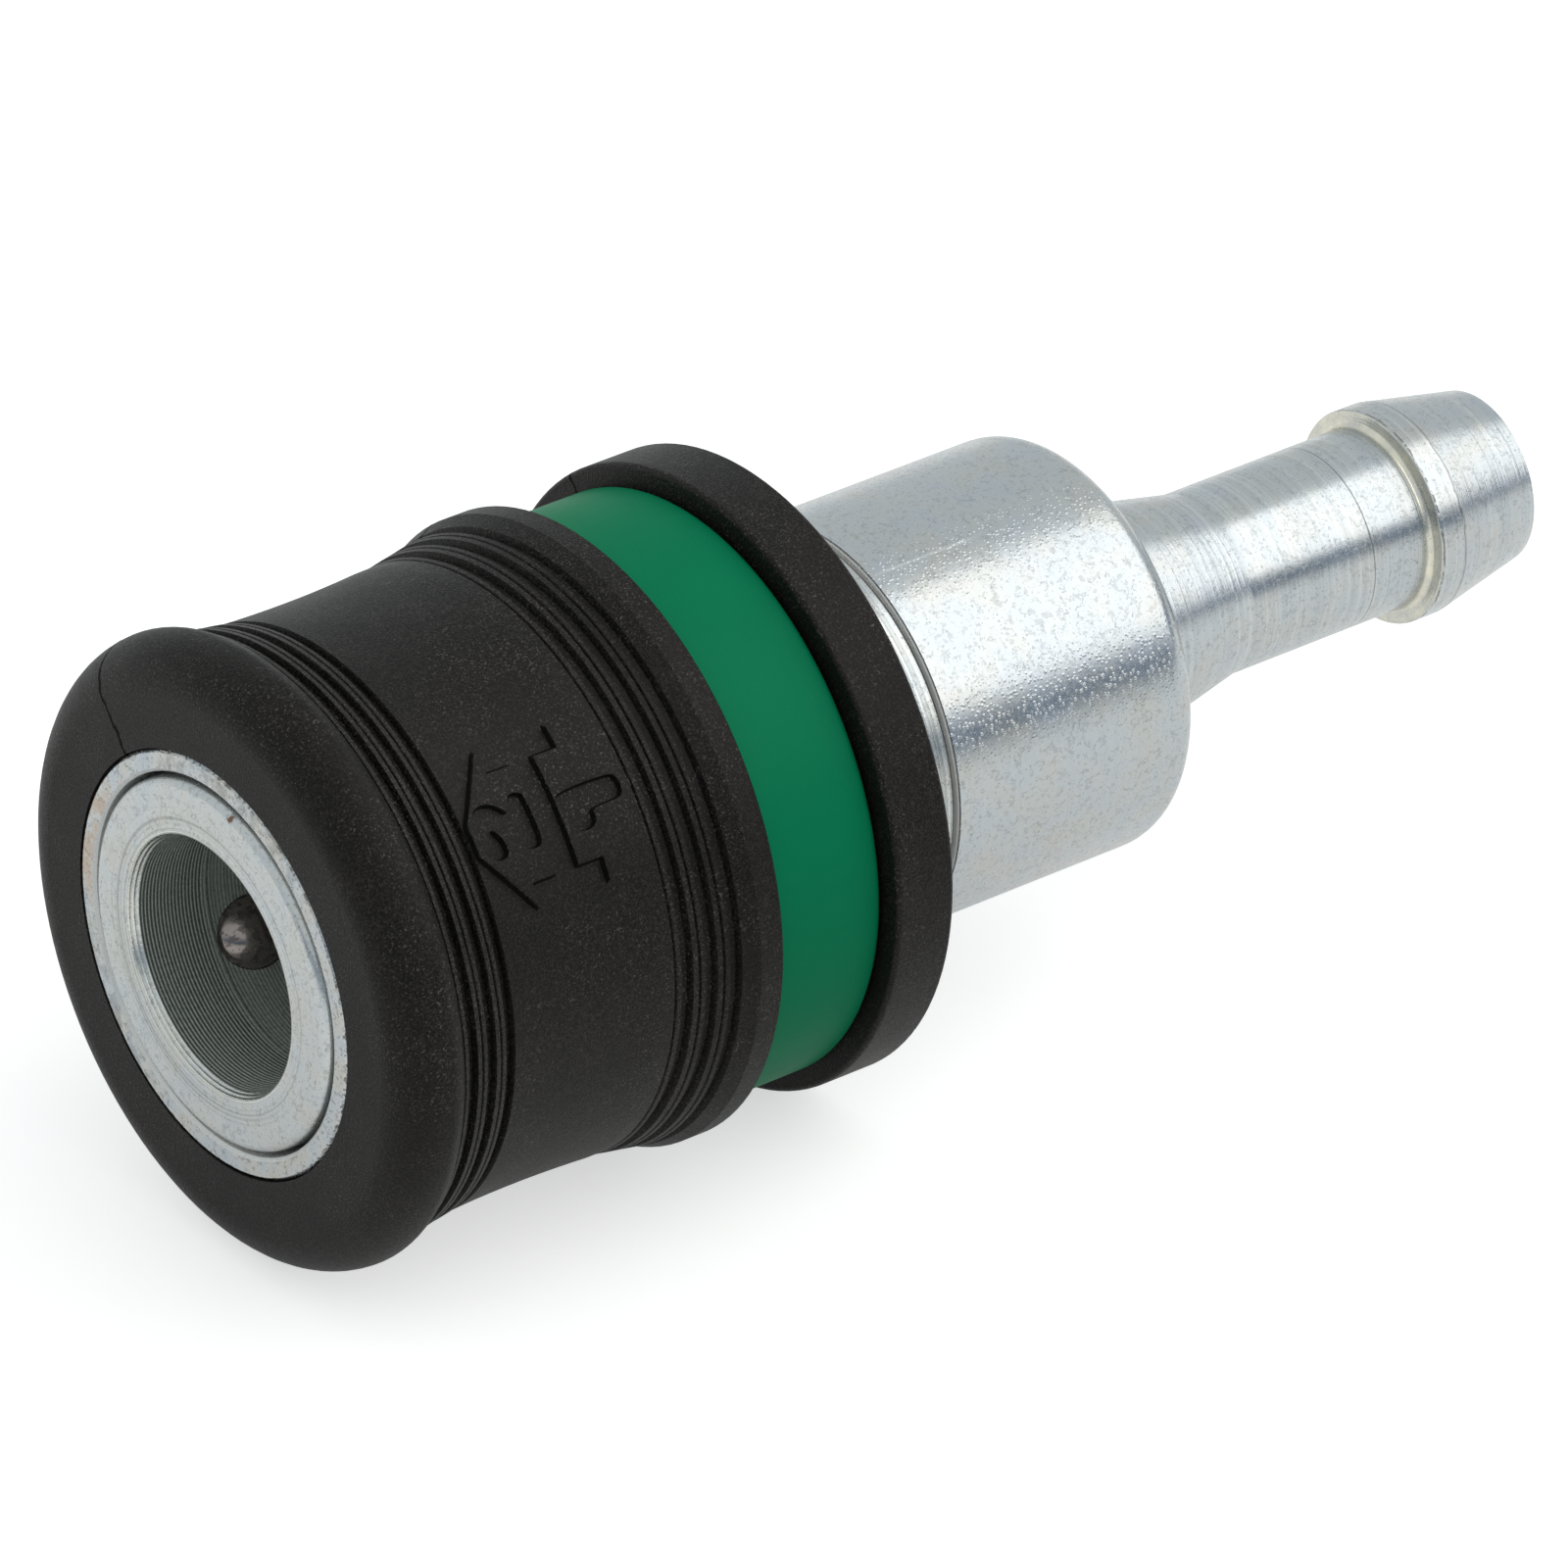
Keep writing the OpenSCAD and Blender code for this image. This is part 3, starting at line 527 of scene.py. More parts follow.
@dataclass(frozen=True)
class SleevePlate(ZincPlate):
    """Plating of the locking sleeve, rubbed by nipples at its front face.

    The eye sees grey mottling over the top and the lower left, a warm stain on the left, and
    small chips along the outer edge.

    Attributes:
        rubbed: Turns from the top, in degrees, between which the face is mottled.
        stained: Turns between which it is stained.
        face: Places along the axis between which the wear of the face fades.
        painted_light_radius: Radius below which the surface is the wall of the gap round the nose, painted
            pale and matt as painted light.
        rim: Inner and outer radius of the chipped edge.
    """

    rubbed: tuple[Pair, ...] = ((-20.0, 45.0), (-150.0, -105.0))
    stained: Pair = (-95.0, -50.0)
    face: Pair = (0.5, 0.3)
    painted_light_radius: float = 9.2
    rim: Pair = (9.92, 10.2)

    def marks(self, bench: Bench, colour: Node) -> tuple[Node, list]:
        """Adds mottling, stain, chips and painted light on the wall of the gap."""
        start, end = self.face
        face = bench.add("MapRange", {"Value": bench.x, "From Min": start, "From Max": end})
        blotch = bench.add("Math", {0: spots(bench, 0.45, 0.5, 0.08, 5.0), 1: face}, operation="MULTIPLY")
        layers = []
        for low, high in self.rubbed:
            where = zone(bench, bench.turn, math.radians(low), math.radians(high), 0.3)
            worn = bench.add("Math", {0: blotch, 1: where}, operation="MULTIPLY")
            layers.append((worn, "#757c7c", 0.45))
        left = zone(bench, bench.turn, *(math.radians(turn) for turn in self.stained), 0.2)
        stain = bench.add("Math", {0: left, 1: spots(bench, 0.5, 0.48, 0.1)}, operation="MULTIPLY")
        # The wall of the gap round the nose is painted pale and made nearly matt, as painted light in the
        # gap's shade
        painted_light_wall = bench.add("Math", {0: bench.radius, 1: self.painted_light_radius}, operation="LESS_THAN")
        bench.link(bench.add("Math", {0: painted_light_wall, 1: -0.9, 2: 1.0}, operation="MULTIPLY_ADD"), "Metallic")
        rim = zone(bench, bench.radius, *self.rim, 0.05)
        rim = bench.add("Math", {0: rim, 1: face}, operation="MULTIPLY")
        chips = bench.add("Math", {0: rim, 1: spots(bench, 0.16, 0.56, 0.04)}, operation="MULTIPLY")
        layers += [(stain, "#b59a86", 0.55), (painted_light_wall, "#e6e6e2", 1.0), (chips, "#5f5a55", 0.7)]
        colour = tinted(bench, colour, *layers)
        return colour, [(blotch, -0.3), (chips, -1.5)]


@dataclass(frozen=True)
class GlassFilledPolyamide:
    """Black polyamide with glass fibre, moulded in a sparked mould.

    The eye sees a soft, slightly brown black with a dull sheen, pale grains where fibre ends
    reach the surface, and one witness line where the mould closes.

    Attributes:
        name: Name of the material.
        colour: Base colour.
        seam_turn: Turn of the witness line from the top, in degrees.
        seam: Half width of that line in millimetres.
        crests: Start and end of each groove band along the axis, and its crests' radius there.
    """

    name: str = "black_glass_filled_polyamide"
    colour: str = "#090808"
    seam_turn: float = -38.6
    seam: float = 0.09
    crests: tuple[tuple[float, float, float, float], ...] = (
        (3.16, 6.32, 14.51, 13.95),
        (15.06, 18.4, 14.08, 14.75),
    )

    def make(self) -> Material:
        """Builds the material."""
        bench = Bench(self.name)
        cloud = bench.add("TexNoise", {"Vector": bench.point, "Scale": 0.3, "Detail": 3.0, "Roughness": 0.6})
        spark = bench.add("TexNoise", {"Vector": bench.point, "Scale": 4.5, "Detail": 4.0, "Roughness": 0.7})
        # Fibre ends of 0.05 mm, coarser than the real 0.02 mm so that they show
        grains = spots(bench, 0.05, 0.55, 0.08, 2.0)
        dust = spots(bench, 0.06, 0.63, 0.03, 2.0)
        dust = bench.add("Math", {0: dust, 1: spots(bench, 2.0, 0.5, 0.15)}, operation="MULTIPLY")
        scuffs = dashes(bench, 0.3, 0.5, 0.02)
        scuffs = bench.add("Math", {0: scuffs, 1: spots(bench, 2.5, 0.54, 0.1)}, operation="MULTIPLY")
        specks = spots(bench, 0.04, 0.56, 0.1, 2.0)
        worn: object = 0.0
        for start, end, start_radius, end_radius in self.crests:
            span = {"From Min": start, "From Max": end, "To Min": start_radius, "To Max": end_radius}
            line = bench.add("MapRange", {"Value": bench.x, **span})
            over = bench.add("Math", {0: bench.radius, 1: line}, operation="SUBTRACT")
            crest = bench.add("MapRange", {"Value": over, "From Min": -0.07, "From Max": -0.01})
            band = zone(bench, bench.x, start, end, 0.03)
            crest = bench.add("Math", {0: crest, 1: band}, operation="MULTIPLY")
            worn = bench.add("Math", {0: crest, 1: specks, 2: worn}, operation="MULTIPLY_ADD")
        away = bench.add("Math", {0: bench.turn, 1: math.radians(self.seam_turn)}, operation="SUBTRACT")
        arc = bench.add("Math", {0: away, 1: bench.radius}, operation="MULTIPLY")
        wander = bench.add("TexNoise", {"Vector": bench.point, "Scale": 1.2, "Detail": 3.0})
        arc = total(bench, [(wander, 0.6), (arc, 1.0)], -0.3)
        seam = zone(bench, arc, -self.seam, self.seam, 0.03)
        colour = tinted(
            bench, self.colour, (cloud, "#0f0d0d", 0.7), (grains, "#35322f", 0.42), (dust, "#6d6862", 0.5),
            (scuffs, "#4a4644", 0.3), (worn, "#55514e", 0.4), (seam, "#040404", 1.0),
        )
        roughness = total(bench, [(spark, 0.18), (cloud, 0.1), (seam, 0.4), (grains, -0.06)], 0.33)
        height = total(bench, [(spark, 1.3), (grains, 0.6), (seam, -3.0)], 0.5)
        sheen = {"IOR": 1.53, "Specular_IOR_Level": 0.16, "Specular_Tint": linear("#fff8f2")}
        return bench.finish(colour, roughness, height, 0.015, Metallic=0.0, **sheen)


@dataclass(frozen=True)
class PaintedCornerShade:
    """Painted shade: a dark line in the corner between the arrows and the waist.

    The eye sees a matt line, darker than the plastic and a little uneven.
    """

    name: str = "oily_corner_grime"

    def make(self) -> Material:
        """Builds the material."""
        bench = Bench(self.name)
        dust = bench.add("TexNoise", {"Vector": bench.point, "Scale": 2.5, "Detail": 3.0})
        colour = tinted(bench, "#030303", (dust, "#141110", 0.8))
        roughness = total(bench, [(dust, 0.2)], 0.75)
        return bench.finish(colour, roughness, dust, 0.01, Metallic=0.0, Specular_IOR_Level=0.1)


@dataclass(frozen=True)
class MouldedPolypropylene:
    """Green thermoplastic with a smooth moulded skin.

    The eye sees an even, saturated green with a satin sheen and very faint flow clouds.

    Attributes:
        name: Name of the material.
        colour: Base colour.
    """

    name: str = "green_moulded_plastic"
    colour: str = "#03764f"

    def make(self) -> Material:
        """Builds the material."""
        bench = Bench(self.name)
        cloud = bench.add("TexNoise", {"Vector": bench.point, "Scale": 0.25, "Detail": 3.0})
        skin = bench.add("TexNoise", {"Vector": bench.point, "Scale": 3.5, "Detail": 3.0, "Roughness": 0.6})
        dust = spots(bench, 0.05, 0.7, 0.03, 2.0)
        colour = tinted(bench, self.colour, (cloud, "#036a47", 0.5), (dust, "#35825f", 0.4))
        roughness = total(bench, [(skin, 0.12), (cloud, 0.08)], 0.36)
        return bench.finish(colour, roughness, skin, 0.004, Metallic=0.0, IOR=1.49, Specular_IOR_Level=0.05)


@dataclass(frozen=True)
class HardenedBall:
    """Hardened steel ball, dull with grease and wear.

    The eye sees a dark grey-brown metal with cloudy spots and a soft highlight.
    """

    name: str = "hardened_ball_steel"

    def make(self) -> Material:
        """Builds the material."""
        bench = Bench(self.name)
        cloud = bench.add("TexNoise", {"Vector": bench.point, "Scale": 1.1, "Detail": 4.0, "Roughness": 0.65})
        marks = spots(bench, 0.2, 0.56, 0.05)
        colour = tinted(bench, "#b0a7a0", (cloud, "#75696a", 0.8), (marks, "#554b4f", 0.6))
        roughness = total(bench, [(cloud, 0.22), (marks, 0.15)], 0.06)
        height = total(bench, [(cloud, 0.9), (marks, -0.6)], 0.4)
        return bench.finish(colour, roughness, height, 0.006, Metallic=0.8)


@dataclass(frozen=True)
class SpringSteel:
    """Drawn spring wire, lightly oiled.

    The eye sees a grey metal with a dark film and fine drawing scratches.
    """

    name: str = "drawn_spring_steel"

    def make(self) -> Material:
        """Builds the material."""
        bench = Bench(self.name)
        film = bench.add("TexNoise", {"Vector": bench.point, "Scale": 0.6, "Detail": 4.0})
        scratch = bench.add("TexNoise", {"Vector": bench.point, "Scale": 6.0, "Detail": 2.0})
        colour = tinted(bench, "#a7a8aa", (film, "#6f6d6b", 0.8))
        roughness = total(bench, [(scratch, 0.2), (film, 0.1)], 0.2)
        return bench.finish(colour, roughness, scratch, 0.004, Metallic=1.0)


@dataclass(frozen=True)
class TurnedBrass:
    """Free-cutting brass as turned.

    The eye sees a warm yellow metal with fine tool rings and a light tarnish.
    """

    name: str = "turned_brass"

    def make(self) -> Material:
        """Builds the material."""
        bench = Bench(self.name)
        rings = turned_marks(bench, 0.12)
        tarnish = bench.add("TexNoise", {"Vector": bench.point, "Scale": 0.5, "Detail": 4.0})
        colour = tinted(bench, "#d8b872", (tarnish, "#9c7c48", 0.6))
        roughness = total(bench, [(rings, 0.12), (tarnish, 0.12)], 0.14)
        return bench.finish(colour, roughness, rings, 0.006, Metallic=1.0)


@dataclass(frozen=True)
class NitrileRubber:
    """Moulded nitrile rubber with a trace of grease.

    The eye sees a deep black with a soft sheen and faint dust.
    """

    name: str = "black_nitrile_rubber"

    def make(self) -> Material:
        """Builds the material."""
        bench = Bench(self.name)
        grease = bench.add("TexNoise", {"Vector": bench.point, "Scale": 0.8, "Detail": 3.0})
        dust = spots(bench, 0.08, 0.68, 0.04)
        colour = tinted(bench, "#161615", (dust, "#4a4845", 0.4))
        roughness = total(bench, [(grease, 0.25)], 0.3)
        return bench.finish(colour, roughness, grease, 0.004, Metallic=0.0, IOR=1.52)


def dress(finish: Finish, *names: str) -> Material:
    """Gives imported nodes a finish.

    Args:
        finish: Finish to build.
        names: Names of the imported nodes.

    Returns:
        The finish's material.
    """
    material = finish.make()
    for name in names:
        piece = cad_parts[name]
        piece.data.materials.clear()
        piece.data.materials.append(material)
        LOG.info("%s: %s", name, material.name)
    return material


class Pointing(Enum):
    """Which way an arrow on the grip points along the axis."""

    FRONT = -1.0
    REAR = 1.0


# Outlines of the plain numerals in millimetres, from their middle, with the top up
TWO = (
    (-1.16, 1.04), (-1.22, 0.7), (-1.16, 0.36), (-0.82, 0.22), (-0.39, 0.29), (-0.03, 0.47), (0.18, 0.61),
    (-0.17, 0.26), (-0.5, -0.06), (-0.92, -0.46), (-1.19, -0.81), (-1.25, -1.17), (-1.14, -1.56),
    (-0.1, -1.59), (1.11, -1.57), (1.29, -1.49), (1.43, -1.1), (1.34, -0.74), (1.04, -0.54), (0.65, -0.46),
    (1.0, -0.17), (1.29, 0.19), (1.4, 0.61), (1.33, 1.04), (1.11, 1.33), (0.68, 1.54), (0.18, 1.62),
    (-0.39, 1.57), (-0.85, 1.36),
)
ONE = (
    (0.73, 1.56), (0.73, -1.37), (0.4, -1.71), (-0.33, -1.68), (-0.5, -1.37), (-0.5, 0.06), (-0.82, 0.01),
    (-1.16, 0.11), (-1.34, 0.5), (-1.26, 1.02), (-1.07, 1.24), (-0.39, 1.52), (0.33, 1.61),
)


@dataclass
class WaistArrow:
    """Raised arrow on the grip's waist with an engraved plain numeral.

    Lengths are in millimetres.

    Attributes:
        name: Name of the piece.
        pointing: Which way the arrow points.
        foot_x: Place of the shaft's flat end along the axis.
        shaft: Length of the shaft, up to the barbs.
        reach: Distance from the foot to where the two long edges would meet.
        cut: Distance from the foot to where the groove band cuts off the tip.
        numeral: Outline of the numeral.
        numeral_at: Distance from the foot to the middle of the numeral.
        turn: Turn of the arrow's middle line from the top, in degrees.
        shaft_turn: Half width of the shaft in degrees.
        barb_turn: Half width across the barbs in degrees.
        height: Height of the arrow over the waist.
        depth: How far its blank reaches into the grip.
        edge: Width of the bevel on its edges.
        painted_shade: Half width of the dark line of painted shade at the foot of its edges.
    """

    name: str
    pointing: Pointing
    foot_x: float
    shaft: float
    reach: float
    cut: float
    numeral: tuple
    numeral_at: float
    turn: float = ARROW_TURN
    shaft_turn: float = 10.6
    barb_turn: float = 15.2
    height: float = 0.28
    depth: float = 0.15
    edge: float = 0.05
    painted_shade: float = 0.1

    def build(self) -> list[Object]:
        """Cuts the arrow out of a turned shell that follows the waist.

        Returns:
            The finished arrow and the line of painted shade at its foot.
        """
        shell, cutter = self._shell(), self._cutter()
        bpy.context.view_layer.objects.active = shell
        cut = shell.modifiers.new("arrow", "BOOLEAN")
        cut.operation, cut.object, cut.solver = "INTERSECT", cutter, "EXACT"
        bpy.ops.object.modifier_apply(modifier=cut.name)
        bpy.data.objects.remove(cutter)
        bevel = shell.modifiers.new("edge", "BEVEL")
        bevel.width, bevel.segments = self.edge * MM, 2
        bevel.limit_method, bevel.angle_limit = "ANGLE", math.radians(50)
        bpy.ops.object.modifier_apply(modifier=bevel.name)
        select(shell)
        bpy.ops.object.shade_smooth_by_angle(angle=math.radians(35))
        shell.name = self.name
        return [shell, self._painted_shade_line()]

    def _at(self, distance: float) -> float:
        """Place along the axis at a distance from the foot."""
        return self.foot_x + self.pointing.value * distance

    def _shell(self) -> Object:
        """Spins a strip that follows the waist's outline into a curved plate blank."""
        margin, spare = 0.3, 3.0
        low, high = sorted((self._at(-margin), self._at(self.cut + margin)))
        bpy.ops.object.select_all(action="DESELECT")
        bpy.ops.mesh.primitive_grid_add(x_subdivisions=12, y_subdivisions=1, size=1.0)
        strip = bpy.context.object
        # Spin turns against its axis, so the strip starts at the blank's lower side
        start = math.radians(self.turn + self.barb_turn + spare)
        for vertex in strip.data.vertices:
            x = (low + (high - low) * (vertex.co.x + 0.5)) * MM
            radius = waist_radius(x) + (self.height if vertex.co.y > 0 else -self.depth) * MM
            vertex.co = (x, -math.sin(start) * radius, math.cos(start) * radius)
        bpy.ops.object.mode_set(mode="EDIT")
        bpy.ops.mesh.select_all(action="SELECT")
        sweep = math.radians(2 * (self.barb_turn + spare))
        bpy.ops.mesh.spin(steps=40, angle=sweep, center=(0, 0, 0), axis=(1, 0, 0))
        bpy.ops.object.mode_set(mode="OBJECT")
        weld(strip)
        return strip

    def _outlines(self) -> tuple[list, list]:
        """Outlines of arrow and numeral in a plane that touches the waist, in millimetres."""
        nip = self.barb_turn * (self.reach - self.cut) / (self.reach - self.shaft)
        corners = (
            (0.0, self.shaft_turn), (self.shaft, self.shaft_turn),
            (self.shaft, self.barb_turn), (self.cut, nip),
        )
        half = [(self._at(far), WAIST * math.sin(math.radians(turn))) for far, turn in corners]
        arrow = half + [(x, -y) for x, y in reversed(half)]
        # The digit's top looks towards the socket, and its right side up the waist
        middle = self._at(self.numeral_at)
        digit = [(middle - up, right) for right, up in rounded(self.numeral)]
        return arrow, digit

    def _painted_shade_line(self) -> Object:
        """Thin dark line of painted shade that follows the waist along the foot of every edge."""
        curve = bpy.data.curves.new(self.name, "CURVE")
        curve.dimensions, curve.bevel_depth, curve.bevel_resolution = "3D", self.painted_shade * MM, 1
        place, spacing = Matrix.Rotation(math.radians(self.turn), 3, "X"), 0.2
        lines = []
        for outline in self._outlines():
            flat = []
            for start, end in zip(outline, outline[1:] + outline[:1]):
                steps = max(1, round(math.dist(start, end) / spacing))
                flat += [Vector(start).lerp(Vector(end), step / steps) * MM for step in range(steps)]
            lines.append([place @ Vector((x, y, math.sqrt(waist_radius(x) ** 2 - y * y))) for x, y in flat])
        return traced(self.name + "_grime", curve, lines)

    def _cutter(self) -> Object:
        """Flat arrow with the numeral as a hole, extruded along the radius."""
        curve = bpy.data.curves.new(self.name, "CURVE")
        curve.dimensions, curve.fill_mode, curve.extrude = "2D", "BOTH", 1.0 * MM
        flat = [[(x * MM, y * MM, 0) for x, y in outline] for outline in self._outlines()]
        cutter = traced(self.name, curve, flat)
        place = Matrix.Rotation(math.radians(self.turn), 4, "X") @ Matrix.Translation((0, 0, WAIST * MM))
        cutter.data.transform(place)
        weld(cutter)
        return cutter


def select(piece: Object) -> None:
    """Makes a piece the only selected and the active one."""
    bpy.ops.object.select_all(action="DESELECT")
    piece.select_set(True)
    bpy.context.view_layer.objects.active = piece


def weld(piece: Object) -> None:
    """Merges a piece's doubled corners and turns its faces outwards."""
    select(piece)
    bpy.ops.object.mode_set(mode="EDIT")
    bpy.ops.mesh.select_all(action="SELECT")
    bpy.ops.mesh.remove_doubles(threshold=WELD)
    bpy.ops.mesh.normals_make_consistent(inside=False)
    bpy.ops.object.mode_set(mode="OBJECT")


def traced(name: str, curve: Curve, outlines: Sequence[Sequence]) -> Object:
    """Draws closed outlines with a curve and turns them into a mesh.

    Args:
        name: Name of the piece.
        curve: Curve with its thickness set.
        outlines: Points of each outline in metres.

    Returns:
        The mesh piece.
    """
    for outline in outlines:
        spline = curve.splines.new("POLY")
        spline.points.add(len(outline) - 1)
        for point, place in zip(spline.points, outline):
            point.co = (*place, 1)
        spline.use_cyclic_u = True
    piece = bpy.data.objects.new(name, curve)
    bpy.context.scene.collection.objects.link(piece)
    select(piece)
    bpy.ops.object.convert(target="MESH")
    return bpy.context.object


def springy(spring: str, front: str, rear: str) -> None:
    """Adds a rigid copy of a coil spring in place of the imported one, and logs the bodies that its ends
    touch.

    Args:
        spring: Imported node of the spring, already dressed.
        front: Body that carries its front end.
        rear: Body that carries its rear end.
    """
    coil = bpy.data.objects.new(f"{spring}_coil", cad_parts[spring].data.copy())
    bpy.context.scene.collection.objects.link(coil)
    weld(coil)
    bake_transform(coil)
    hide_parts(spring)
    LOG.info("%s: %d faces, between %s and %s", coil.name, len(coil.data.polygons), front, rear)


def rounded(outline: Sequence[Pair], times: int = 2) -> list[Pair]:
    """Rounds the corners of a closed outline by cutting them again and again.

    Args:
        outline: Corners in order.
        times: How often the corners are cut.

    Returns:
        Points of the rounder outline.
    """
    points = list(outline)
    for _ in range(times):
        pairs = list(zip(points, points[1:] + points[:1]))
        points = [
            (a[0] + (b[0] - a[0]) * share, a[1] + (b[1] - a[1]) * share)
            for a, b in pairs
            for share in (0.25, 0.75)
        ]
    return points


def waist_radius(x: float) -> float:
    """Measures the grip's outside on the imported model, under the arrows.

    Args:
        x: Place along the axis in metres.

    Returns:
        Radius in metres.
    """
    turn = math.radians(ARROW_TURN)
    out = Vector((0, -math.sin(turn), math.cos(turn)))
    hit, place, _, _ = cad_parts["grip"].ray_cast(Vector((x, 0, 0)) + out * 0.03, -out)
    return math.hypot(place.y, place.z) if hit else WAIST * MM


@dataclass
class CouplingBody:
    """Turned body, rear housing with hose tail, and the small pieces fixed in them."""

    bright: ZincPlate = SocketPlate(
        "zinc_plated_valve_body", colour="#d5d7d6", rings=0.5, pebbles=0.1, pits=0.35, dirt=0.3
    )
    tumbled: ZincPlate = HousingPlate("zinc_plated_rear_housing", roughness=0.25, pits=0.3)
    plain: ZincPlate = ZincPlate("zinc_plated_small_rings", pebbles=0.0)

    def build(self) -> None:
        """Dresses the fixed pieces."""
        dress(self.bright, "valve_body")
        dress(self.tumbled, "rear_housing")
        dress(self.plain, "grip_spring_seat")
        dress(SpringSteel("drawn_stop_ring_steel"), "stop_ring")
        dress(TurnedBrass("drilled_brass_guide"), "valve_guide")
        dress(NitrileRubber(), "body_seal", "nipple_seal")


@dataclass
class Lock:
    """Locking sleeve with its seat and snap ring, and the balls."""

    plate: ZincPlate = SleevePlate(
        "zinc_plated_locking_sleeve", colour="#ced0d0", rings=0.4, pebbles=0.1, pits=0.6, dirt=0.6
    )

    def build(self) -> None:
        """Dresses the lock."""
        dress(self.plate, "locking_sleeve", "sleeve_spring_seat")
        dress(HardenedBall(), *(f"locking_ball_{i}" for i in range(1, 5)))
        dress(SpringSteel(), "sleeve_snap_ring", "sleeve_spring")
        springy("sleeve_spring", "coupling_body", "sleeve")


@dataclass
class GripUnit:
    """Moulded grip with its arrows, the colour ring, and the drive ring inside it."""

    plastic: Finish = GlassFilledPolyamide()
    arrows: tuple[WaistArrow, ...] = (
        WaistArrow(
            "release_arrow", Pointing.FRONT, foot_x=9.9, shaft=1.35, reach=3.97, cut=3.45,
            numeral=TWO, numeral_at=1.7,
        ),
        WaistArrow(
            "vent_arrow", Pointing.REAR, foot_x=11.09, shaft=1.31, reach=3.96, cut=3.86,
            numeral=ONE, numeral_at=1.66,
        ),
    )

    def build(self) -> None:
        """Dresses the grip and adds its arrows."""
        material = dress(self.plastic, "grip")
        # The dark line round each arrow is painted shade
        painted_shade = PaintedCornerShade().make()
        for arrow in self.arrows:
            for piece, finish in zip(arrow.build(), (material, painted_shade)):
                piece.data.materials.clear()
                piece.data.materials.append(finish)
                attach(piece, "grip_unit")
                LOG.info("%s: %d faces", piece.name, len(piece.data.polygons))
        dress(MouldedPolypropylene(), "colour_ring")
        dress(ZincPlate("zinc_plated_drive_ring"), "drive_ring")
        pins = [f"drive_pin_{i}" for i in range(1, 4)]
        dress(SpringSteel("drawn_grip_wire"), "grip_snap_ring", "grip_spring", *pins)
        # The rear end rests on a ring of the body, which stands still with the sleeve in a pull
        springy("grip_spring", "grip_unit", "sleeve")


@dataclass
class Valve:
    """Vent sleeve, valve piston, and their seals and springs."""

    def build(self) -> None:
        """Dresses the valve."""
        dress(TurnedBrass(), "vent_sleeve", "valve_piston")
        dress(NitrileRubber("black_nitrile_ring"), "vent_seal_front", "vent_seal_rear", "valve_seal")
        dress(SpringSteel("drawn_valve_wire"), "vent_spring", "valve_spring")
        springy("vent_spring", "vent", "coupling_body")
        springy("valve_spring", "piston", "coupling_body")


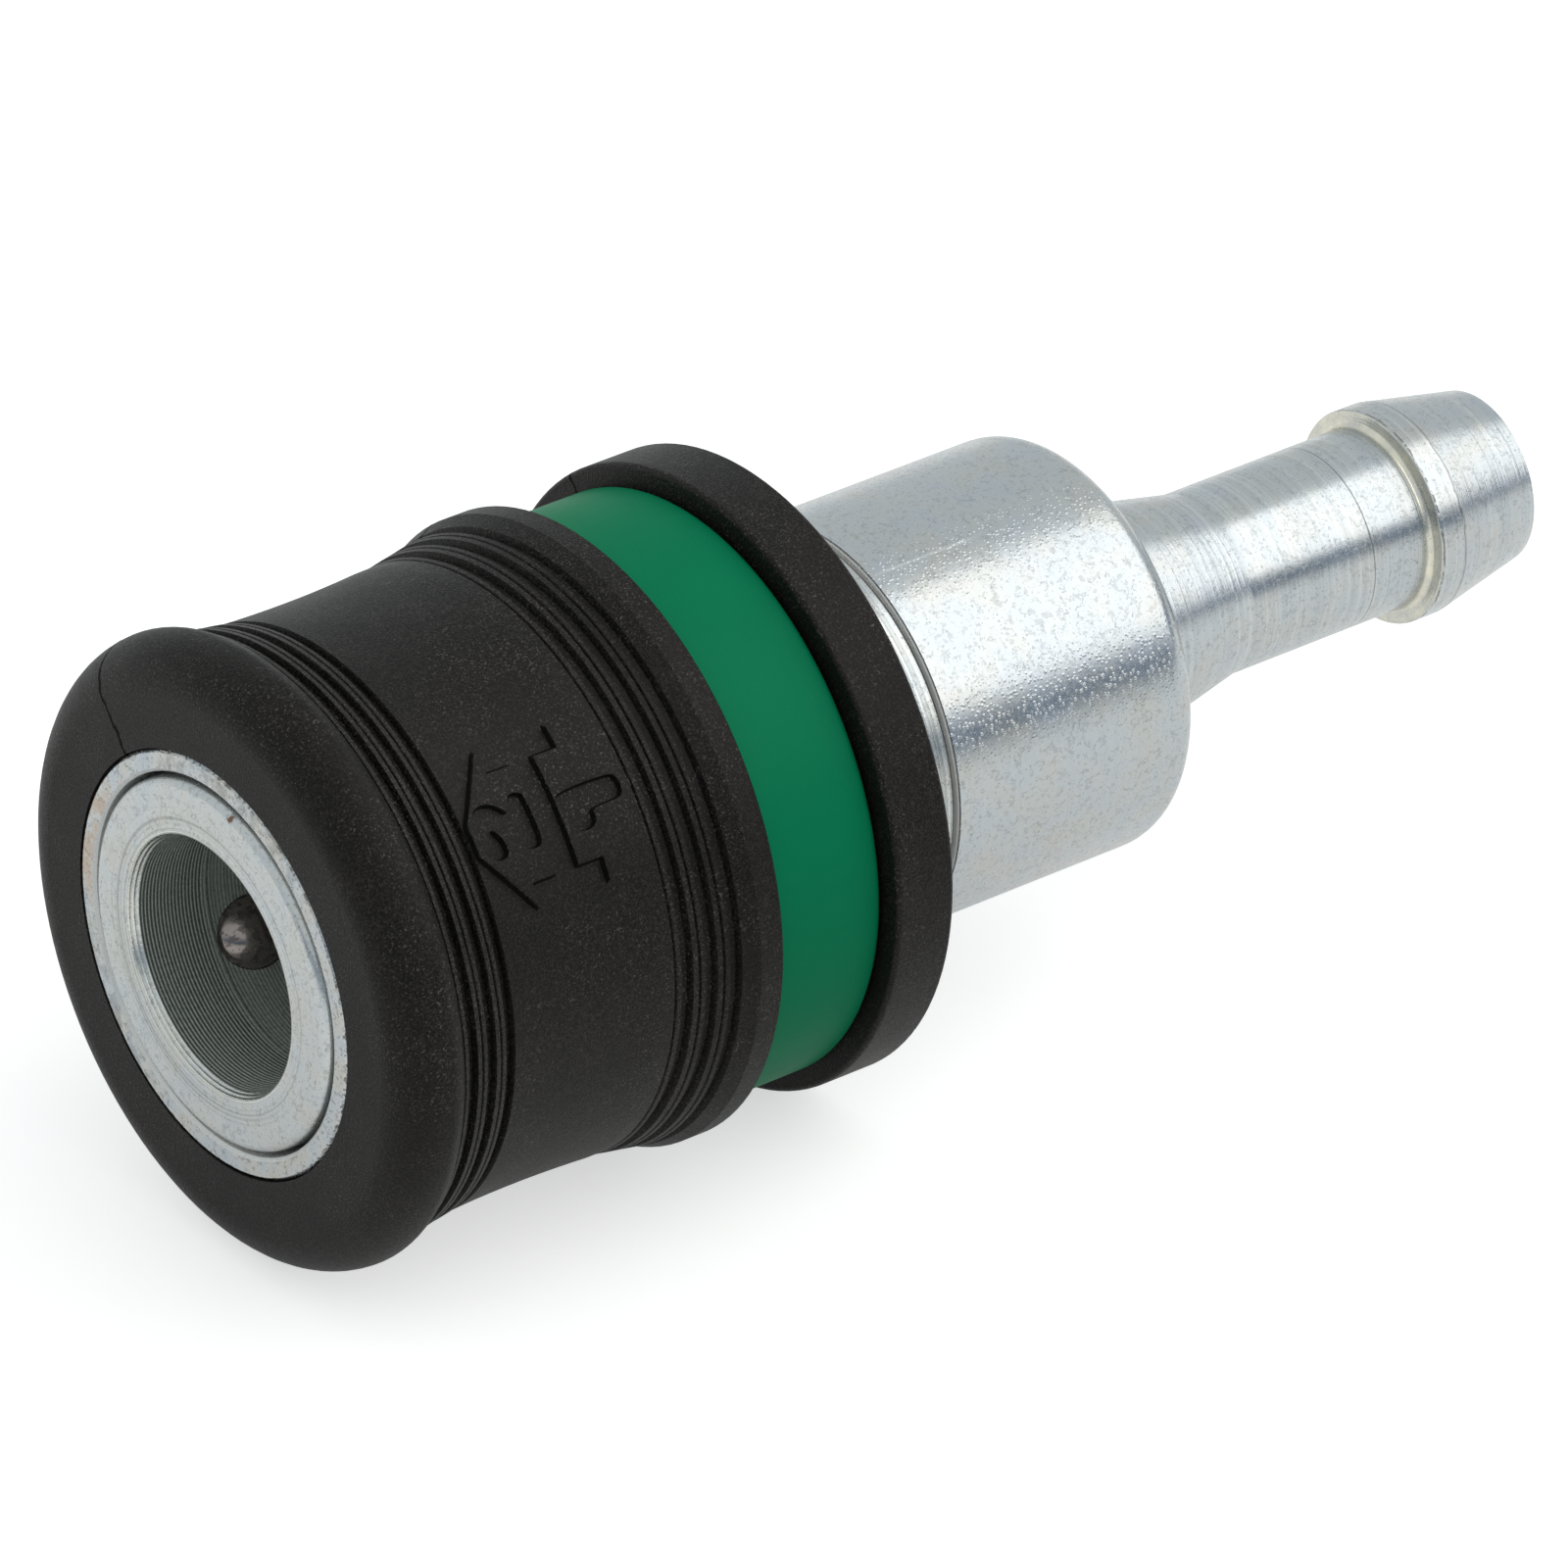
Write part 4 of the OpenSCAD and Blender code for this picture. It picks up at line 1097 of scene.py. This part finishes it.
@dataclass
class Studio:
    """Camera, pale floor and soft light.

    Attributes:
        camera_place: Camera in metres.
        camera_forward: Direction of view.
        camera_up: Upward direction in the picture.
        lens: Focal length in millimetres on a 36 mm sensor.
        floor_z: Height of the floor, on which the grip lies.
        softbox_direction: Direction of the large lamp from the coupling.
        softbox_distance: Distance of that lamp in metres.
        softbox_size: Its length and width in metres.
        softbox_power: Its power in watts.
    """

    camera_place: tuple[float, float, float] = (-0.3206, -0.4581, 0.3363)
    camera_forward: tuple[float, float, float] = (0.52639, 0.68390, -0.50517)
    camera_up: tuple[float, float, float] = (0.30812, 0.40032, 0.86302)
    lens: float = 337.5
    floor_z: float = -15.0 * MM
    softbox_direction: tuple[float, float, float] = (0.526, -0.4875, 0.696)
    softbox_distance: float = 0.9
    softbox_size: Pair = (1.2, 0.98)
    softbox_power: float = 4.4

    def build(self) -> None:
        """Builds the studio."""
        self._camera()
        self._floor()
        self._lamps()
        self._world()

    def _camera(self) -> None:
        """Sets the camera at the photograph's viewing angle."""
        data = bpy.data.cameras.new("camera")
        data.lens, data.sensor_width = self.lens, 36.0
        data.clip_start, data.clip_end = 0.05, 20.0
        camera = bpy.data.objects.new("camera", data)
        forward, up = Vector(self.camera_forward).normalized(), Vector(self.camera_up).normalized()
        right = forward.cross(up).normalized()
        up = right.cross(forward)
        turn = Matrix((right, up, -forward)).transposed().to_4x4()
        camera.matrix_world = Matrix.Translation(self.camera_place) @ turn
        bpy.context.scene.collection.objects.link(camera)
        bpy.context.scene.camera = camera

    def _floor(self) -> None:
        """Lays the pale floor; the camera sees it white, and metal and glass see its near part so."""
        bpy.ops.mesh.primitive_plane_add(size=8.0, location=(0, 0, self.floor_z))
        floor = bpy.context.object
        floor.name = "studio_floor"
        bench = Bench("pale_studio_paper")
        grain = bench.add("TexNoise", {"Vector": bench.point, "Scale": 0.4, "Detail": 2.0})
        bench.link(tinted(bench, "#cfcfcd", (grain, "#cbcbc9", 0.5)), "Base Color")
        bench.shader.inputs["Roughness"].default_value = 0.9
        path = bench.add("LightPath").outputs
        near = bench.add("MapRange", {"Value": bench.y, "From Min": -220.0, "From Max": -80.0})
        rays = {0: path["Is Glossy Ray"], 1: path["Is Transmission Ray"]}
        other = bench.add("Math", rays, operation="MAXIMUM")
        other = bench.add("Math", {0: other, 1: near}, operation="MULTIPLY")
        glow = total(bench, [(path["Is Camera Ray"], 0.6), (other, 0.34)])
        bench.shader.inputs["Emission Color"].default_value = linear("#ffffff")
        bench.link(glow, "Emission Strength")
        floor.data.materials.append(bench.material)

    def _lamps(self) -> None:
        """Hangs the large softbox over the front of the coupling."""
        data = bpy.data.lights.new("softbox", "AREA")
        data.shape, (data.size, data.size_y) = "RECTANGLE", self.softbox_size
        data.energy, data.color = self.softbox_power, linear("#fffdfa")[:3]
        lamp = bpy.data.objects.new("softbox", data)
        out = Vector(self.softbox_direction).normalized()
        side = Vector((1, 0, 0)) - out * out.x
        side.normalize()
        up = out.cross(side)
        lamp.matrix_world = (
            Matrix.Translation(out * self.softbox_distance) @ Matrix((side, up, out)).transposed().to_4x4()
        )
        lamp.visible_camera = False
        bpy.context.scene.collection.objects.link(lamp)

    def _world(self) -> None:
        """Paints the studio's walls: pale above, darker low in front, and white for the camera."""
        world = bpy.data.worlds.new("studio_walls")
        bpy.context.scene.world = world
        world.use_nodes = True
        tree = world.node_tree
        tree.nodes.clear()
        add = partial(add_node, tree)
        direction = add("TexCoord").outputs["Generated"]
        split = add("SeparateXYZ", {0: direction}).outputs
        low = add("MapRange", {"Value": split["Z"], "From Min": 0.12, "From Max": 0.3, **FALL})
        front = add("MapRange", {"Value": split["Y"], "From Min": 0.3, "From Max": -0.3})
        dark = add("Math", {0: low, 1: front}, operation="MULTIPLY")
        walls = add("Mix", {0: dark, 6: linear("#d9dfe1"), 7: linear("#4a6482")}, data_type="RGBA")
        lit = add("Background", {"Color": walls, "Strength": 1.0})
        white = add("Background", {"Color": linear("#ffffff"), "Strength": 1.0})
        seen = add("LightPath").outputs["Is Camera Ray"]
        mixed = add("MixShader", {0: seen, 1: lit, 2: white})
        add("OutputWorld", {"Surface": mixed})


def main() -> None:
    """Builds the studio and dresses the coupling, sub-assembly by sub-assembly."""
    logging.basicConfig(level=logging.INFO, format="%(message)s")
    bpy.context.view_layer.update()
    for part in (Studio(), CouplingBody(), Lock(), GripUnit(), Valve()):
        part.build()
        LOG.info("%s done", type(part).__name__)
    bpy.context.scene.view_settings.view_transform = "Standard"


if __name__ == "__main__":
    main()
